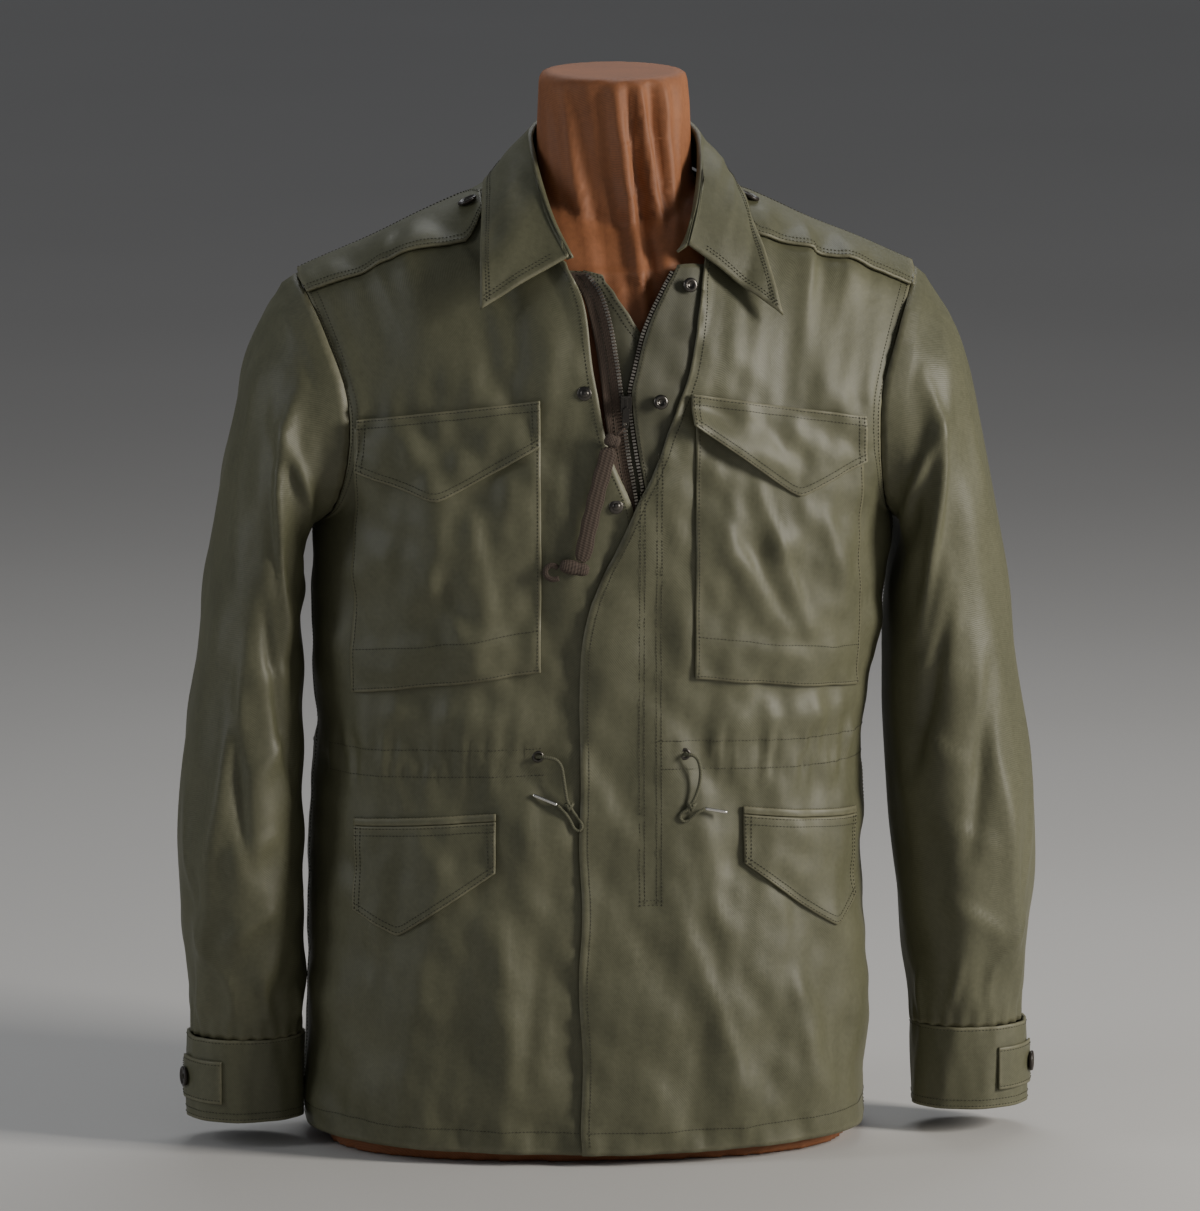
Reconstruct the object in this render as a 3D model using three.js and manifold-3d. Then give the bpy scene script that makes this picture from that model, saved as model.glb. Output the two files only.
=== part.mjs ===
// Field jacket standing on a limbless dress form.
// Millimetres, +Z up, front towards -Y, the viewer's right towards +X.
// The origin is the middle of the form's flat base.
// "left" and "right" in piece names are the wearer's, so left pieces lie at +X.

import * as THREE from 'three';
import { mergeVertices } from 'three/addons/utils/BufferGeometryUtils.js';
import Module from 'manifold-3d';

const wasm = await Module();
wasm.setup();

// Cloth and clearances
const WALL = 2;
const SEAM_GAP = 0.3;
const PATCH_LIFT = 1.7;
const PATCH_WALL = 1.6;
const FLY_LIFT = 3.8;
const FLY_FLAT = 15;
const FLY_SLOPE = 30;
const ZIP_COVER_X = 40;
const FLY_FADE_TOP = 735;
const FLY_FADE_BOTTOM = 700;
const ROUNDNESS = 0.8;

// Stations where the side seam becomes the armhole and the centre front becomes the neckline
const UNDERARM = 0.6;
const NECK_START = 0.9;
const SHOULDER_STOP = 1 - 0.0001;

// Stations of a panel's rows of points, and of the dress form's
const PANEL_STATIONS = [0, 0.02, 0.08, 0.14, 0.2, 0.26, 0.32, 0.37, 0.4, 0.43, 0.48, 0.54, 0.6, 0.65,
  0.7, 0.75, 0.8, 0.85, 0.875, NECK_START, 0.92, 0.94, 0.96, 0.98, 1];
const FORM_STATIONS = [0, 0.1, 0.2, 0.3, 0.4, 0.5, 0.6, 0.68, 0.76, 0.84, NECK_START, 0.925, 0.95, 0.975, 1];
const FORM_COLUMNS = 9;

// Neckline
const NECK_MIDDLE_X = 4;
const NECK_POINT_X = 80;
const NECK_POINT_Y = 5;
const NECK_POINT_Z = 757;
const NECK_FRONT_Y = -106;
const NECK_FRONT_Z = 699;
const NECK_BACK_Y = 88;
const NECK_BACK_Z = 766;

// Body sections from hem to neckline: centre front, centre back and side seam.
// lean is how far the section hangs to the viewer's left, straight how flat its plan is.
const BODY_SECTIONS = [
  { station: 0.0, frontY: -140, frontZ: 8, backY: 132, backZ: 12,
    sideX: 222, sideZ: 14, lean: -17, straight: 0 },
  { station: 0.1, frontY: -138, frontZ: 94, backY: 131, backZ: 95,
    sideX: 220, sideZ: 92, lean: -17, straight: 0 },
  { station: 0.2, frontY: -135, frontZ: 179, backY: 128, backZ: 178,
    sideX: 219, sideZ: 170, lean: -16, straight: 0 },
  { station: 0.3, frontY: -131, frontZ: 262, backY: 122, backZ: 260,
    sideX: 218, sideZ: 250, lean: -15, straight: 0 },
  { station: 0.4, frontY: -127, frontZ: 340, backY: 114, backZ: 340,
    sideX: 216, sideZ: 330, lean: -14, straight: 0 },
  { station: 0.5, frontY: -131, frontZ: 424, backY: 118, backZ: 426,
    sideX: 222, sideZ: 410, lean: -8, straight: 0 },
  { station: 0.6, frontY: -136, frontZ: 507, backY: 126, backZ: 512,
    sideX: 228, sideZ: 490, lean: -3, straight: 0.05 },
  { station: 0.7, frontY: -136, frontZ: 576, backY: 129, backZ: 590,
    sideX: 228, sideZ: 534, lean: -1, straight: 0.35 },
  { station: 0.8, frontY: -127, frontZ: 642, backY: 124, backZ: 672,
    sideX: 228, sideZ: 580, lean: 0, straight: 0.62 },
  { station: 0.9, frontY: -106, frontZ: 699, backY: 88, backZ: 766,
    sideX: 228, sideZ: 630, lean: 0, straight: 0.88 },
  { station: 1.0, frontY: -60, frontZ: 740, backY: 60, backZ: 770,
    sideX: 228, sideZ: 686, lean: 0, straight: 1 },
];

// Armhole seam from the underarm up to the shoulder point
const ARMHOLE_SECTIONS = [
  { station: 0.6, frontX: 228, frontY: 0, backX: 228, backY: 0, height: 490 },
  { station: 0.68, frontX: 216, frontY: -58, backX: 219, backY: 60, height: 510 },
  { station: 0.76, frontX: 208, frontY: -84, backX: 213, backY: 90, height: 553 },
  { station: 0.84, frontX: 209, frontY: -86, backX: 214, backY: 95, height: 602 },
  { station: 0.92, frontX: 224, frontY: -63, backX: 227, backY: 70, height: 648 },
  { station: 0.96, frontX: 235, frontY: -34, backX: 236, backY: 40, height: 673 },
  { station: 1.0, frontX: 243, frontY: 5, backX: 243, backY: 5, height: 686 },
];

// Large folds of the fronts: soft ridges (height above 0) and troughs, from one point to another
const FRONT_FOLDS = [
  { fromX: -138, fromZ: 722, toX: -198, toZ: 655, width: 13, height: 5 },
  { fromX: -122, fromZ: 716, toX: -172, toZ: 628, width: 12, height: 4 },
  { fromX: -130, fromZ: 700, toX: -186, toZ: 640, width: 10, height: -3 },
  { fromX: 146, fromZ: 716, toX: 158, toZ: 655, width: 13, height: 4 },
  { fromX: 172, fromZ: 704, toX: 205, toZ: 632, width: 13, height: 5 },
  { fromX: 160, fromZ: 690, toX: 184, toZ: 630, width: 10, height: -3 },
  { fromX: 110, fromZ: 230, toX: 165, toZ: 20, width: 22, height: 5 },
  { fromX: 60, fromZ: 215, toX: 95, toZ: 20, width: 22, height: 4 },
  { fromX: -70, fromZ: 290, toX: -100, toZ: 20, width: 24, height: 6 },
  { fromX: -140, fromZ: 230, toX: -165, toZ: 20, width: 24, height: 5 },
  { fromX: 70, fromZ: 345, toX: 190, toZ: 352, width: 12, height: 3 },
  { fromX: -75, fromZ: 350, toX: -200, toZ: 352, width: 12, height: 3 },
];

// Large folds of the back, by the same rule
const BACK_FOLDS = [
  { fromX: 60, fromZ: 280, toX: 95, toZ: 20, width: 26, height: 6 },
  { fromX: -40, fromZ: 290, toX: -55, toZ: 20, width: 26, height: 5 },
  { fromX: -120, fromZ: 250, toX: -160, toZ: 20, width: 26, height: 6 },
  { fromX: 150, fromZ: 250, toX: 175, toZ: 30, width: 22, height: 4 },
  { fromX: 80, fromZ: 600, toX: 170, toZ: 510, width: 20, height: 4 },
  { fromX: -80, fromZ: 600, toX: -170, toZ: 510, width: 20, height: 4 },
  { fromX: -170, fromZ: 350, toX: 150, toZ: 350, width: 14, height: 3 },
];

// Free edge of the storm fly, by height
const FLY_EDGE = [
  { height: 0, x: -31 },
  { height: 400, x: -31 },
  { height: 432, x: -26 },
  { height: 461, x: -16 },
  { height: 485, x: -5 },
  { height: 524, x: 12 },
  { height: 553, x: 27 },
  { height: 597, x: 44 },
  { height: 621, x: 52 },
  { height: 661, x: 61 },
  { height: 683, x: 66 },
  { height: 730, x: 76 },
];

// Cut edge of the right front beside the zip, by height
const RIGHT_FRONT_EDGE = [
  { height: 0, x: 12 },
  { height: 480, x: 12 },
  { height: 520, x: 8 },
  { height: 560, x: -7 },
  { height: 585, x: -15 },
  { height: 612, x: -19 },
  { height: 643, x: -22 },
  { height: 665, x: -25 },
  { height: 685, x: -30 },
  { height: 704, x: -39 },
];

// Middle of each zip chain, by height: closed below the slider, open above it
const ZIP_BOTTOM = 208;
const ZIP_CHAINS = [
  { height: 200, right: 18, left: 22 },
  { height: 480, right: 18, left: 22 },
  { height: 520, right: 14, left: 18 },
  { height: 560, right: 7, left: 11 },
  { height: 608, right: 1.5, left: 5.5 },
  { height: 625, right: -0.5, left: 9 },
  { height: 643, right: -3, left: 14 },
  { height: 665, right: -7, left: 22 },
  { height: 685, right: -13, left: 33 },
  { height: 698, right: -22, left: 41 },
  { height: 707, right: -31, left: 46 },
];

// Depths of the zip's layers, measured from the body surface
const CHAIN_HALF = 1.6;
const CHAIN_TOP = -0.1;
const TAPE_TOP = -3.5;
const TAPE_BOTTOM = -4.6;
const TAPE_REACH = 16;
const FACING_WALL = 1.6;
const GUARD_TOP = -5.5;
const GUARD_WALL = 1.2;

// Free edge of the guard behind the zip, by height
const GUARD_EDGE = [
  { height: 500, x: 40 },
  { height: 640, x: 27 },
  { height: 660, x: 15 },
  { height: 690, x: -6 },
  { height: 704, x: -19 },
];

// Sleeve sections below the armhole: outermost and innermost point, half depth, middle depth.
// onArmhole is the share of the armhole's own shape that is left in the section.
const SLEEVE_SECTIONS = [
  { outX: 253, outZ: 680, innerLeft: 230, innerRight: 236, inZ: 481,
    depth: 91, middleY: 3, onArmhole: 0.7 },
  { outX: 264, outZ: 664, innerLeft: 228, innerRight: 237, inZ: 468,
    depth: 91, middleY: 3, onArmhole: 0.35 },
  { outX: 275, outZ: 643, innerLeft: 226, innerRight: 238, inZ: 453,
    depth: 89, middleY: 2, onArmhole: 0.1 },
  { outX: 285, outZ: 608, innerLeft: 223, innerRight: 239, inZ: 434, depth: 86, middleY: 1, onArmhole: 0 },
  { outX: 294, outZ: 568, innerLeft: 221, innerRight: 240, inZ: 411, depth: 82, middleY: 0, onArmhole: 0 },
  { outX: 303, outZ: 524, innerLeft: 219, innerRight: 239, inZ: 384, depth: 78, middleY: -2, onArmhole: 0 },
  { outX: 311, outZ: 478, innerLeft: 219, innerRight: 240, inZ: 353, depth: 75, middleY: -4, onArmhole: 0 },
  { outX: 318, outZ: 430, innerLeft: 220, innerRight: 240, inZ: 320, depth: 73, middleY: -6, onArmhole: 0 },
  { outX: 323, outZ: 382, innerLeft: 221, innerRight: 240, inZ: 286, depth: 72, middleY: -8, onArmhole: 0 },
  { outX: 330, outZ: 336, innerLeft: 223, innerRight: 240, inZ: 254, depth: 71, middleY: -9, onArmhole: 0 },
  { outX: 336, outZ: 292, innerLeft: 226, innerRight: 240, inZ: 224,
    depth: 70, middleY: -10, onArmhole: 0 },
  { outX: 339, outZ: 250, innerLeft: 229, innerRight: 240, inZ: 197,
    depth: 68, middleY: -11, onArmhole: 0 },
  { outX: 338, outZ: 212, innerLeft: 231, innerRight: 240, inZ: 172,
    depth: 64, middleY: -12, onArmhole: 0 },
  { outX: 336, outZ: 177, innerLeft: 234, innerRight: 240, inZ: 149,
    depth: 59, middleY: -12, onArmhole: 0 },
  { outX: 333, outZ: 145, innerLeft: 237, innerRight: 240, inZ: 127,
    depth: 53, middleY: -12, onArmhole: 0 },
  { outX: 330, outZ: 115, innerLeft: 239, innerRight: 241, inZ: 106,
    depth: 46, middleY: -12, onArmhole: 0 },
  { outX: 329, outZ: 86.4, innerLeft: 241, innerRight: 242, inZ: 86.4, depth: 40, middleY: -12, onArmhole: 0 },
];

// Points round a sleeve, what a degree of turn measures on it, and its length
const SLEEVE_RING = 20;
const TURN_TO_MM = 1.4;
const SLEEVE_LENGTH = 560;
const ARMHOLE_MIDDLE = { x: 233, y: 3, z: 588 };

// Large folds of a sleeve: turn is degrees from outermost towards the front,
// share runs from the cuff (0) to the head (1)
const SLEEVE_FOLDS = [
  { fromTurn: 40, fromShare: 0.05, toTurn: 75, toShare: 0.55, width: 12, height: 4 },
  { fromTurn: 95, fromShare: 0.3, toTurn: 60, toShare: 0.5, width: 10, height: -4 },
  { fromTurn: 120, fromShare: 0.62, toTurn: 60, toShare: 0.9, width: 11, height: 5 },
  { fromTurn: 140, fromShare: 0.45, toTurn: 90, toShare: 0.62, width: 11, height: -4 },
  { fromTurn: 250, fromShare: 0.2, toTurn: 300, toShare: 0.6, width: 14, height: 4 },
  { fromTurn: 230, fromShare: 0.5, toTurn: 300, toShare: 0.9, width: 14, height: 4 },
  { fromTurn: 60, fromShare: 0.8, toTurn: 130, toShare: 0.9, width: 10, height: 4 },
  { fromTurn: 330, fromShare: 0.75, toTurn: 220, toShare: 0.88, width: 12, height: -4 },
];

// Cuffs
const CUFF_TOP = 86;
const CUFF_BOTTOM = 20;
const CUFF_WALL = 2.6;
const CUFF_HALF_WIDTH = 46;
const CUFF_HALF_DEPTH = 41;
const CUFF_MIDDLE_X = 287;
const CUFF_MIDDLE_Y = -12;
const CUFF_TAB_WIDTH = 34;
const CUFF_TAB_HEIGHT = 52;
const CUFF_TAB_START = 65;
const CUFF_TAB_TIP = -16;
const CUFF_TAB_POINT = 20;
const CUFF_TAB_LIFT = 0.5;
const CUFF_BUTTON_TURN = 12;

// Collar: where its fold and its free edge lie, from the back (0) past the shoulder (1) to the front
const COLLAR_WALL = 2;
const COLLAR_FOLD = 2.4;
const COLLAR_SWELL = 1.5;
const COLLAR_LEFT = [
  { share: 0.0, foldX: 7, foldY: 75, foldZ: 806, edgeX: 7, edgeY: 118, edgeZ: 759 },
  { share: 0.35, foldX: 33, foldY: 70, foldZ: 805, edgeX: 48, edgeY: 110, edgeZ: 758 },
  { share: 0.7, foldX: 60, foldY: 47, foldZ: 801, edgeX: 81, edgeY: 77, edgeZ: 758 },
  { share: 1.0, foldX: 73, foldY: 12, foldZ: 794, edgeX: 95, edgeY: 16, edgeZ: 759 },
  { share: 1.2, foldX: 73, foldY: -14, foldZ: 784, edgeX: 104, edgeY: -28, edgeZ: 750 },
  { share: 1.35, foldX: 70, foldY: -43, foldZ: 766, edgeX: 113, edgeY: -64, edgeZ: 726 },
  { share: 1.5, foldX: 64, foldY: -71, foldZ: 743, edgeX: 121, edgeY: -90, edgeZ: 696 },
  { share: 1.6, foldX: 56, foldY: -93, foldZ: 720, edgeX: 128, edgeY: -105, edgeZ: 664 },
];
const COLLAR_RIGHT = [
  { share: 0.0, foldX: 7, foldY: 75, foldZ: 806, edgeX: 7, edgeY: 118, edgeZ: 759 },
  { share: 0.35, foldX: -19, foldY: 70, foldZ: 805, edgeX: -36, edgeY: 110, edgeZ: 758 },
  { share: 0.7, foldX: -46, foldY: 47, foldZ: 801, edgeX: -71, edgeY: 77, edgeZ: 758 },
  { share: 1.0, foldX: -59, foldY: 12, foldZ: 795, edgeX: -93, edgeY: 16, edgeZ: 760 },
  { share: 1.2, foldX: -60, foldY: -14, foldZ: 784, edgeX: -99, edgeY: -28, edgeZ: 750 },
  { share: 1.35, foldX: -57, foldY: -45, foldZ: 765, edgeX: -103, edgeY: -66, edgeZ: 728 },
  { share: 1.52, foldX: -49, foldY: -74, foldZ: 738, edgeX: -106, edgeY: -94, edgeZ: 700 },
  { share: 1.66, foldX: -37, foldY: -97, foldZ: 713, edgeX: -107, edgeY: -108, edgeZ: 672 },
];

// Shoulder straps: how far they reach along the shoulder, and across it by station
const STRAP_START_X = 98;
const STRAP_END_X = 240;
const STRAP_WALL = 2.4;
const STRAP_LIFT = 1.2;
const STRAP_BUTTON_X = 108;
const STRAP_TIP_SHARE = 0.35;
const STRAP_FRONT_STATION = 0.964;
const STRAP_BACK_STATION = 0.992;
const STRAP_SEAM_SHARE = 0.78;

// Pockets, seen from the front: inner is the side towards the zip
const CHEST_POCKETS = [
  { name: 'left', side: 1, innerX: 58, outerX: 192, innerTop: 600,
    outerTop: 578, innerBottom: 384, outerBottom: 366 },
  { name: 'right', side: -1, innerX: -62, outerX: -203, innerTop: 598,
    outerTop: 578, innerBottom: 390, outerBottom: 368 },
];
const POCKET_SWELL = 3.5;
const CHEST_FLAPS = [
  { name: 'left', side: 1, innerX: 54, outerX: 193, innerTop: 607,
    outerTop: 583, innerSide: 584, outerSide: 548, pointX: 139, pointZ: 523 },
  { name: 'right', side: -1, innerX: -62, outerX: -201, innerTop: 603,
    outerTop: 585, innerSide: 568, outerSide: 545, pointX: -139, pointZ: 523 },
];
const HIP_FLAPS = [
  { name: 'left', side: 1, innerX: 97, outerX: 190, innerTop: 274,
    outerTop: 262, innerSide: 236, outerSide: 198, pointX: 170, pointZ: 178 },
  { name: 'right', side: -1, innerX: -97, outerX: -203, innerTop: 272,
    outerTop: 262, innerSide: 232, outerSide: 196, pointX: -172, pointZ: 178 },
];
const WELT_HEIGHT = 6;

// Dress form inside the cloth
const FORM_SHOULDER_GAP = 0.5;
const FORM_WAIST_GAP = 12;
const FORM_TOP_MIDDLE = [6, 6, 748];
const FORM_NECK = [
  { height: 690, radius: 60, middleX: 6, middleY: 6 },
  { height: 740, radius: 66, middleX: 6, middleY: 8 },
  { height: 765, radius: 61.5, middleX: 7, middleY: 9 },
  { height: 800, radius: 60.5, middleX: 7, middleY: 10 },
  { height: 836, radius: 58.5, middleX: 6.5, middleY: 10 },
  { height: 843, radius: 56, middleX: 6.5, middleY: 10 },
];

// Small hard pieces
const SNAP_RADIUS = 5.5;
const BUTTON_RADIUS = 8;
const SNAPS = [
  { name: 'snap_stud_upper', x: -28, z: 609 },
  { name: 'snap_stud_lower', x: -4, z: 521 },
  { name: 'snap_socket_upper', x: 55, z: 688 },
  { name: 'snap_socket_lower', x: 30, z: 602 },
];

const SNAP_HEIGHT = 2.4;
const BUTTON_HEIGHT = 3;
const EYELET_RADIUS = 4.6;
const EYELET_HOLE = 2.4;
const EYELET_HEIGHT = 1.2;
const REST_GAP = 0.4;

// Zip slider and the tab hinged on it
const SLIDER = { x: 3.5, z: 601, width: 9, height: 13, depth: 5, lift: 0.8 };
const TAB = { width: 5.5, length: 17, depth: 1.6, top: 600, lean: 3, hole: 1.6 };

// Pull lace: a doubled flat lace tied to the tab
const LACE_WIDTH = 13;
const LACE_DEPTH = 2.4;
const LACE_TIE = [[1.8, -143.1, 584], [-0.8, -143.6, 581.4], [-3.9, -143.6, 578.9]];
const LACE_ROUTE = [[-9.6, -142.2, 568.4], [-13, -142.6, 556], [-17.5, -143, 540], [-22, -143.2, 522],
  [-26, -143.2, 505], [-29.5, -143, 488], [-32, -142.7, 479.6]];
const LACE_KNOTS = [
  { name: 'upper', x: -7.5, y: -142.4, z: 574, halfX: 6.5, halfY: 4.2, halfZ: 5.6, turn: 20 },
  { name: 'lower', x: -37, y: -142.8, z: 474.5, halfX: 12, halfY: 4.6, halfZ: 6, turn: 12 },
];
const LACE_END = [[-49.6, -142.2, 474.5], [-53, -141.6, 476.5], [-57, -141.2, 476], [-59.5, -141, 472],
  [-58, -141, 467.5], [-53.5, -141.4, 465.5], [-49, -141.8, 466.5]];

// Waist drawcord: where each end leaves its eyelet, hangs and is knotted
const CORD_RADIUS = 1.35;
const CORD_EYELETS = [
  { name: 'left', x: 50, z: 324 },
  { name: 'right', x: -64, z: 323 },
];
const CORDS = {
  left: {
    down: [[50, -129.5, 324], [51.5, -135.5, 324.6], [55.5, -136.8, 324.4], [59.6, -136.2, 321],
      [61.8, -135.2, 313], [61.8, -134.6, 305], [60.2, -134.8, 297], [56.5, -135.5, 288.1]],
    knot: { x: 55.2, y: -136, z: 283.8, half: 4.2 },
    tail: [[51.6, -136, 281.1], [47.6, -135.8, 278.6], [46, -135.6, 275], [48.4, -135.4, 272],
      [52.4, -135.4, 272.6], [55.8, -136, 275.6], [60.4, -136.6, 279.4], [65.5, -135.6, 281.6]],
    aglet: [[66.2, -135.4, 281.8], [83, -132.4, 278]],
  },
  right: {
    down: [[-64, -125.9, 323], [-62, -130.8, 323.8], [-56.5, -132.4, 323.4], [-50.5, -132.8, 321.6],
      [-46.4, -133, 316], [-44.6, -133.2, 306], [-43.2, -133.6, 296], [-41.8, -133.9, 289.1]],
    knot: { x: -40.6, y: -134, z: 284.6, half: 4.2 },
    tail: [[-37.4, -134.4, 280.6], [-33.4, -135.2, 275.6], [-30.6, -135.6, 270], [-32.6, -135.4, 265.8],
      [-36.6, -134.8, 267.6], [-39.4, -134.4, 273.2], [-43.4, -134.4, 279.4], [-49.6, -133.4, 286]],
    aglet: [[-50.2, -133.3, 286.6], [-68, -130.4, 293.6]],
  },
};

// Colours, roughness and metalness of each finish
const FINISHES = {
  sateen: { color: 0x55563e, roughness: 0.55, metalness: 0 },
  cover: { color: 0x8a5433, roughness: 0.7, metalness: 0 },
  tape: { color: 0x5a4a3c, roughness: 0.85, metalness: 0 },
  steel: { color: 0x3c3a36, roughness: 0.35, metalness: 1 },
  button: { color: 0x26221c, roughness: 0.4, metalness: 0 },
  cord: { color: 0x4a4a34, roughness: 0.85, metalness: 0 },
  aglet: { color: 0xb9b6ae, roughness: 0.3, metalness: 1 },
};

const jacket = new THREE.Group();
const materials = {};
for (const [name, finish] of Object.entries(FINISHES)) {
  materials[name] = new THREE.MeshStandardMaterial(finish);
}

// Table reading

function mix(from, to, share) {
  return from + (to - from) * share;
}

function smoothStep(low, high, value) {
  const share = THREE.MathUtils.clamp((value - low) / (high - low), 0, 1);
  return share * share * (3 - 2 * share);
}

// A column of a table at a place between its rows, on a smooth curve through them
function readTable(table, key, place, column) {
  const last = table.length - 1;
  let row = 0;
  while (row < last - 1 && place > table[row + 1][key]) {
    row += 1;
  }
  const here = table[row];
  const next = table[row + 1];
  const before = table[Math.max(row - 1, 0)];
  const after = table[Math.min(row + 2, last)];
  const span = next[key] - here[key];
  const share = THREE.MathUtils.clamp((place - here[key]) / span, 0, 1);
  const slopeHere = (next[column] - before[column]) / (next[key] - before[key] || 1) * span;
  const slopeNext = (after[column] - here[column]) / (after[key] - here[key] || 1) * span;
  const square = share * share;
  const cube = square * share;
  return (2 * cube - 3 * square + 1) * here[column] + (cube - 2 * square + share) * slopeHere
    + (3 * square - 2 * cube) * next[column] + (cube - square) * slopeNext;
}

// Body surface

function bodyColumn(station, column) {
  return readTable(BODY_SECTIONS, 'station', station, column);
}

// Where a row starts: the centre line, or the neckline above it
function rowStart(face, side, station) {
  const front = face === 'front';
  if (station <= NECK_START) {
    const y = bodyColumn(station, front ? 'frontY' : 'backY');
    const z = bodyColumn(station, front ? 'frontZ' : 'backZ');
    return new THREE.Vector3(NECK_MIDDLE_X, y, z);
  }
  const turn = (station - NECK_START) / (1 - NECK_START) * Math.PI / 2;
  const across = Math.sin(turn);
  const reach = side * NECK_POINT_X - NECK_MIDDLE_X;
  const startY = front ? NECK_FRONT_Y : NECK_BACK_Y;
  const startZ = front ? NECK_FRONT_Z : NECK_BACK_Z;
  return new THREE.Vector3(
    NECK_MIDDLE_X + reach * across,
    mix(NECK_POINT_Y, startY, Math.cos(turn) ** ROUNDNESS),
    mix(startZ, NECK_POINT_Z, across ** 3),
  );
}

// Where a row ends: the side seam, or the armhole above it
function rowEnd(face, side, station) {
  if (station <= UNDERARM) {
    const lean = bodyColumn(station, 'lean');
    return new THREE.Vector3(side * bodyColumn(station, 'sideX') + lean, 0, bodyColumn(station, 'sideZ'));
  }
  const lean = bodyColumn(UNDERARM, 'lean') * (1 - smoothStep(UNDERARM, 0.8, station));
  return new THREE.Vector3(
    side * readTable(ARMHOLE_SECTIONS, 'station', station, `${face}X`) + lean,
    readTable(ARMHOLE_SECTIONS, 'station', station, `${face}Y`),
    readTable(ARMHOLE_SECTIONS, 'station', station, 'height'),
  );
}

function basePoint(face, side, across, station) {
  const start = rowStart(face, side, station);
  const end = rowEnd(face, side, station);
  const straight = bodyColumn(station, 'straight');
  const turn = across * Math.PI / 2;
  const shareX = mix(Math.sin(turn) ** ROUNDNESS, across, straight);
  const shareY = mix(Math.max(Math.cos(turn), 0) ** ROUNDNESS, 1 - across, straight);
  return new THREE.Vector3(
    mix(start.x, end.x, shareX),
    mix(end.y, start.y, shareY),
    mix(start.z, end.z, across),
  );
}

// Outward direction of the body surface, level across the side seam and the shoulder seam
function baseNormal(face, side, across, station) {
  const step = 0.01;
  const lowAcross = Math.max(across - step, 0.002);
  const highAcross = Math.min(across + step, 1);
  const belowNeck = station <= NECK_START;
  const lowStation = Math.max(station - step, belowNeck ? 0 : NECK_START);
  const highStation = Math.min(station + step, belowNeck ? NECK_START : 1);
  const alongRow = basePoint(face, side, highAcross, station);
  alongRow.sub(basePoint(face, side, lowAcross, station));
  const alongColumn = basePoint(face, side, across, highStation);
  alongColumn.sub(basePoint(face, side, across, lowStation));
  const normal = new THREE.Vector3().crossVectors(alongRow, alongColumn);
  normal.multiplyScalar(face === 'front' ? side : -side);
  if (station > 1 - step) {
    normal.y = 0;
  }
  if (across < step && station <= NECK_START) {
    normal.x = 0;
  }
  if (across > 1 - step && station <= UNDERARM) {
    normal.set(side, 0, 0);
  }
  return normal.normalize();
}

// Height of the folds at a point: a soft hump beside each fold's line, faded at its ends
function foldHeight(folds, x, z) {
  let total = 0;
  for (const fold of folds) {
    const runX = fold.toX - fold.fromX;
    const runZ = fold.toZ - fold.fromZ;
    const along = ((x - fold.fromX) * runX + (z - fold.fromZ) * runZ) / (runX * runX + runZ * runZ);
    const nearest = THREE.MathUtils.clamp(along, 0, 1);
    const distance = Math.hypot(x - fold.fromX - runX * nearest, z - fold.fromZ - runZ * nearest);
    const fade = Math.sin(Math.PI * THREE.MathUtils.clamp(along * 0.9 + 0.05, 0, 1)) ** 0.7;
    total += fold.height * fade * Math.exp(-((distance / fold.width) ** 2));
  }
  return total;
}

function bodyFold(face, point, across, station) {
  const folds = face === 'front' ? FRONT_FOLDS : BACK_FOLDS;
  const seamFade = station > UNDERARM ? smoothStep(1, 0.9, across) : 1;
  const shoulderFade = smoothStep(1, 0.97, station);
  return foldHeight(folds, point.x, point.z) * seamFade * shoulderFade;
}

// A point of the body's outer face, moved out by lift
function bodyPoint(face, side, across, station, lift) {
  const point = basePoint(face, side, across, station);
  const normal = baseNormal(face, side, across, station);
  const height = lift + bodyFold(face, point, across, station);
  return point.addScaledVector(normal, height);
}

// The share of a row at which it reaches a given x
function acrossAt(face, side, station, x) {
  let low = 0;
  let high = 1;
  for (let pass = 0; pass < 24; pass += 1) {
    const middle = (low + high) / 2;
    const reached = basePoint(face, side, middle, station).x * side;
    if (reached < x * side) {
      low = middle;
    } else {
      high = middle;
    }
  }
  return (low + high) / 2;
}

// The point of the front or back at a given x and height
function pointAt(face, x, z, lift) {
  const side = x >= NECK_MIDDLE_X ? 1 : -1;
  let station = THREE.MathUtils.clamp(z / 800, 0, 1);
  let across = 0;
  for (let pass = 0; pass < 30; pass += 1) {
    across = acrossAt(face, side, station, x);
    const error = z - basePoint(face, side, across, station).z;
    station = THREE.MathUtils.clamp(station + error / 900, 0, 1);
  }
  return bodyPoint(face, side, across, station, lift);
}

// Solids from grids

function volumeOf(points, faces) {
  let total = 0;
  const cross = new THREE.Vector3();
  for (const [a, b, c] of faces) {
    total += points[a].dot(cross.crossVectors(points[b], points[c]));
  }
  return total / 6;
}

// A closed geometry from points and faces: equal points joined, flat faces dropped, faces outward
function closedGeometry(points, faces) {
  const facesOut = volumeOf(points, faces) > 0 ? faces : faces.map(([a, b, c]) => [a, c, b]);
  const positions = [];
  for (const face of facesOut) {
    for (const index of face) {
      positions.push(points[index].x, points[index].y, points[index].z);
    }
  }
  const loose = new THREE.BufferGeometry();
  loose.setAttribute('position', new THREE.Float32BufferAttribute(positions, 3));
  const joined = mergeVertices(loose, 1e-3);
  const source = joined.getIndex().array;
  const kept = [];
  for (let start = 0; start < source.length; start += 3) {
    const [a, b, c] = [source[start], source[start + 1], source[start + 2]];
    if (a !== b && b !== c && c !== a) {
      kept.push(a, b, c);
    }
  }
  joined.setIndex(kept);
  joined.computeVertexNormals();
  return joined;
}

function pushQuad(faces, a, b, c, d) {
  faces.push([a, b, c], [a, c, d]);
}

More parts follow.
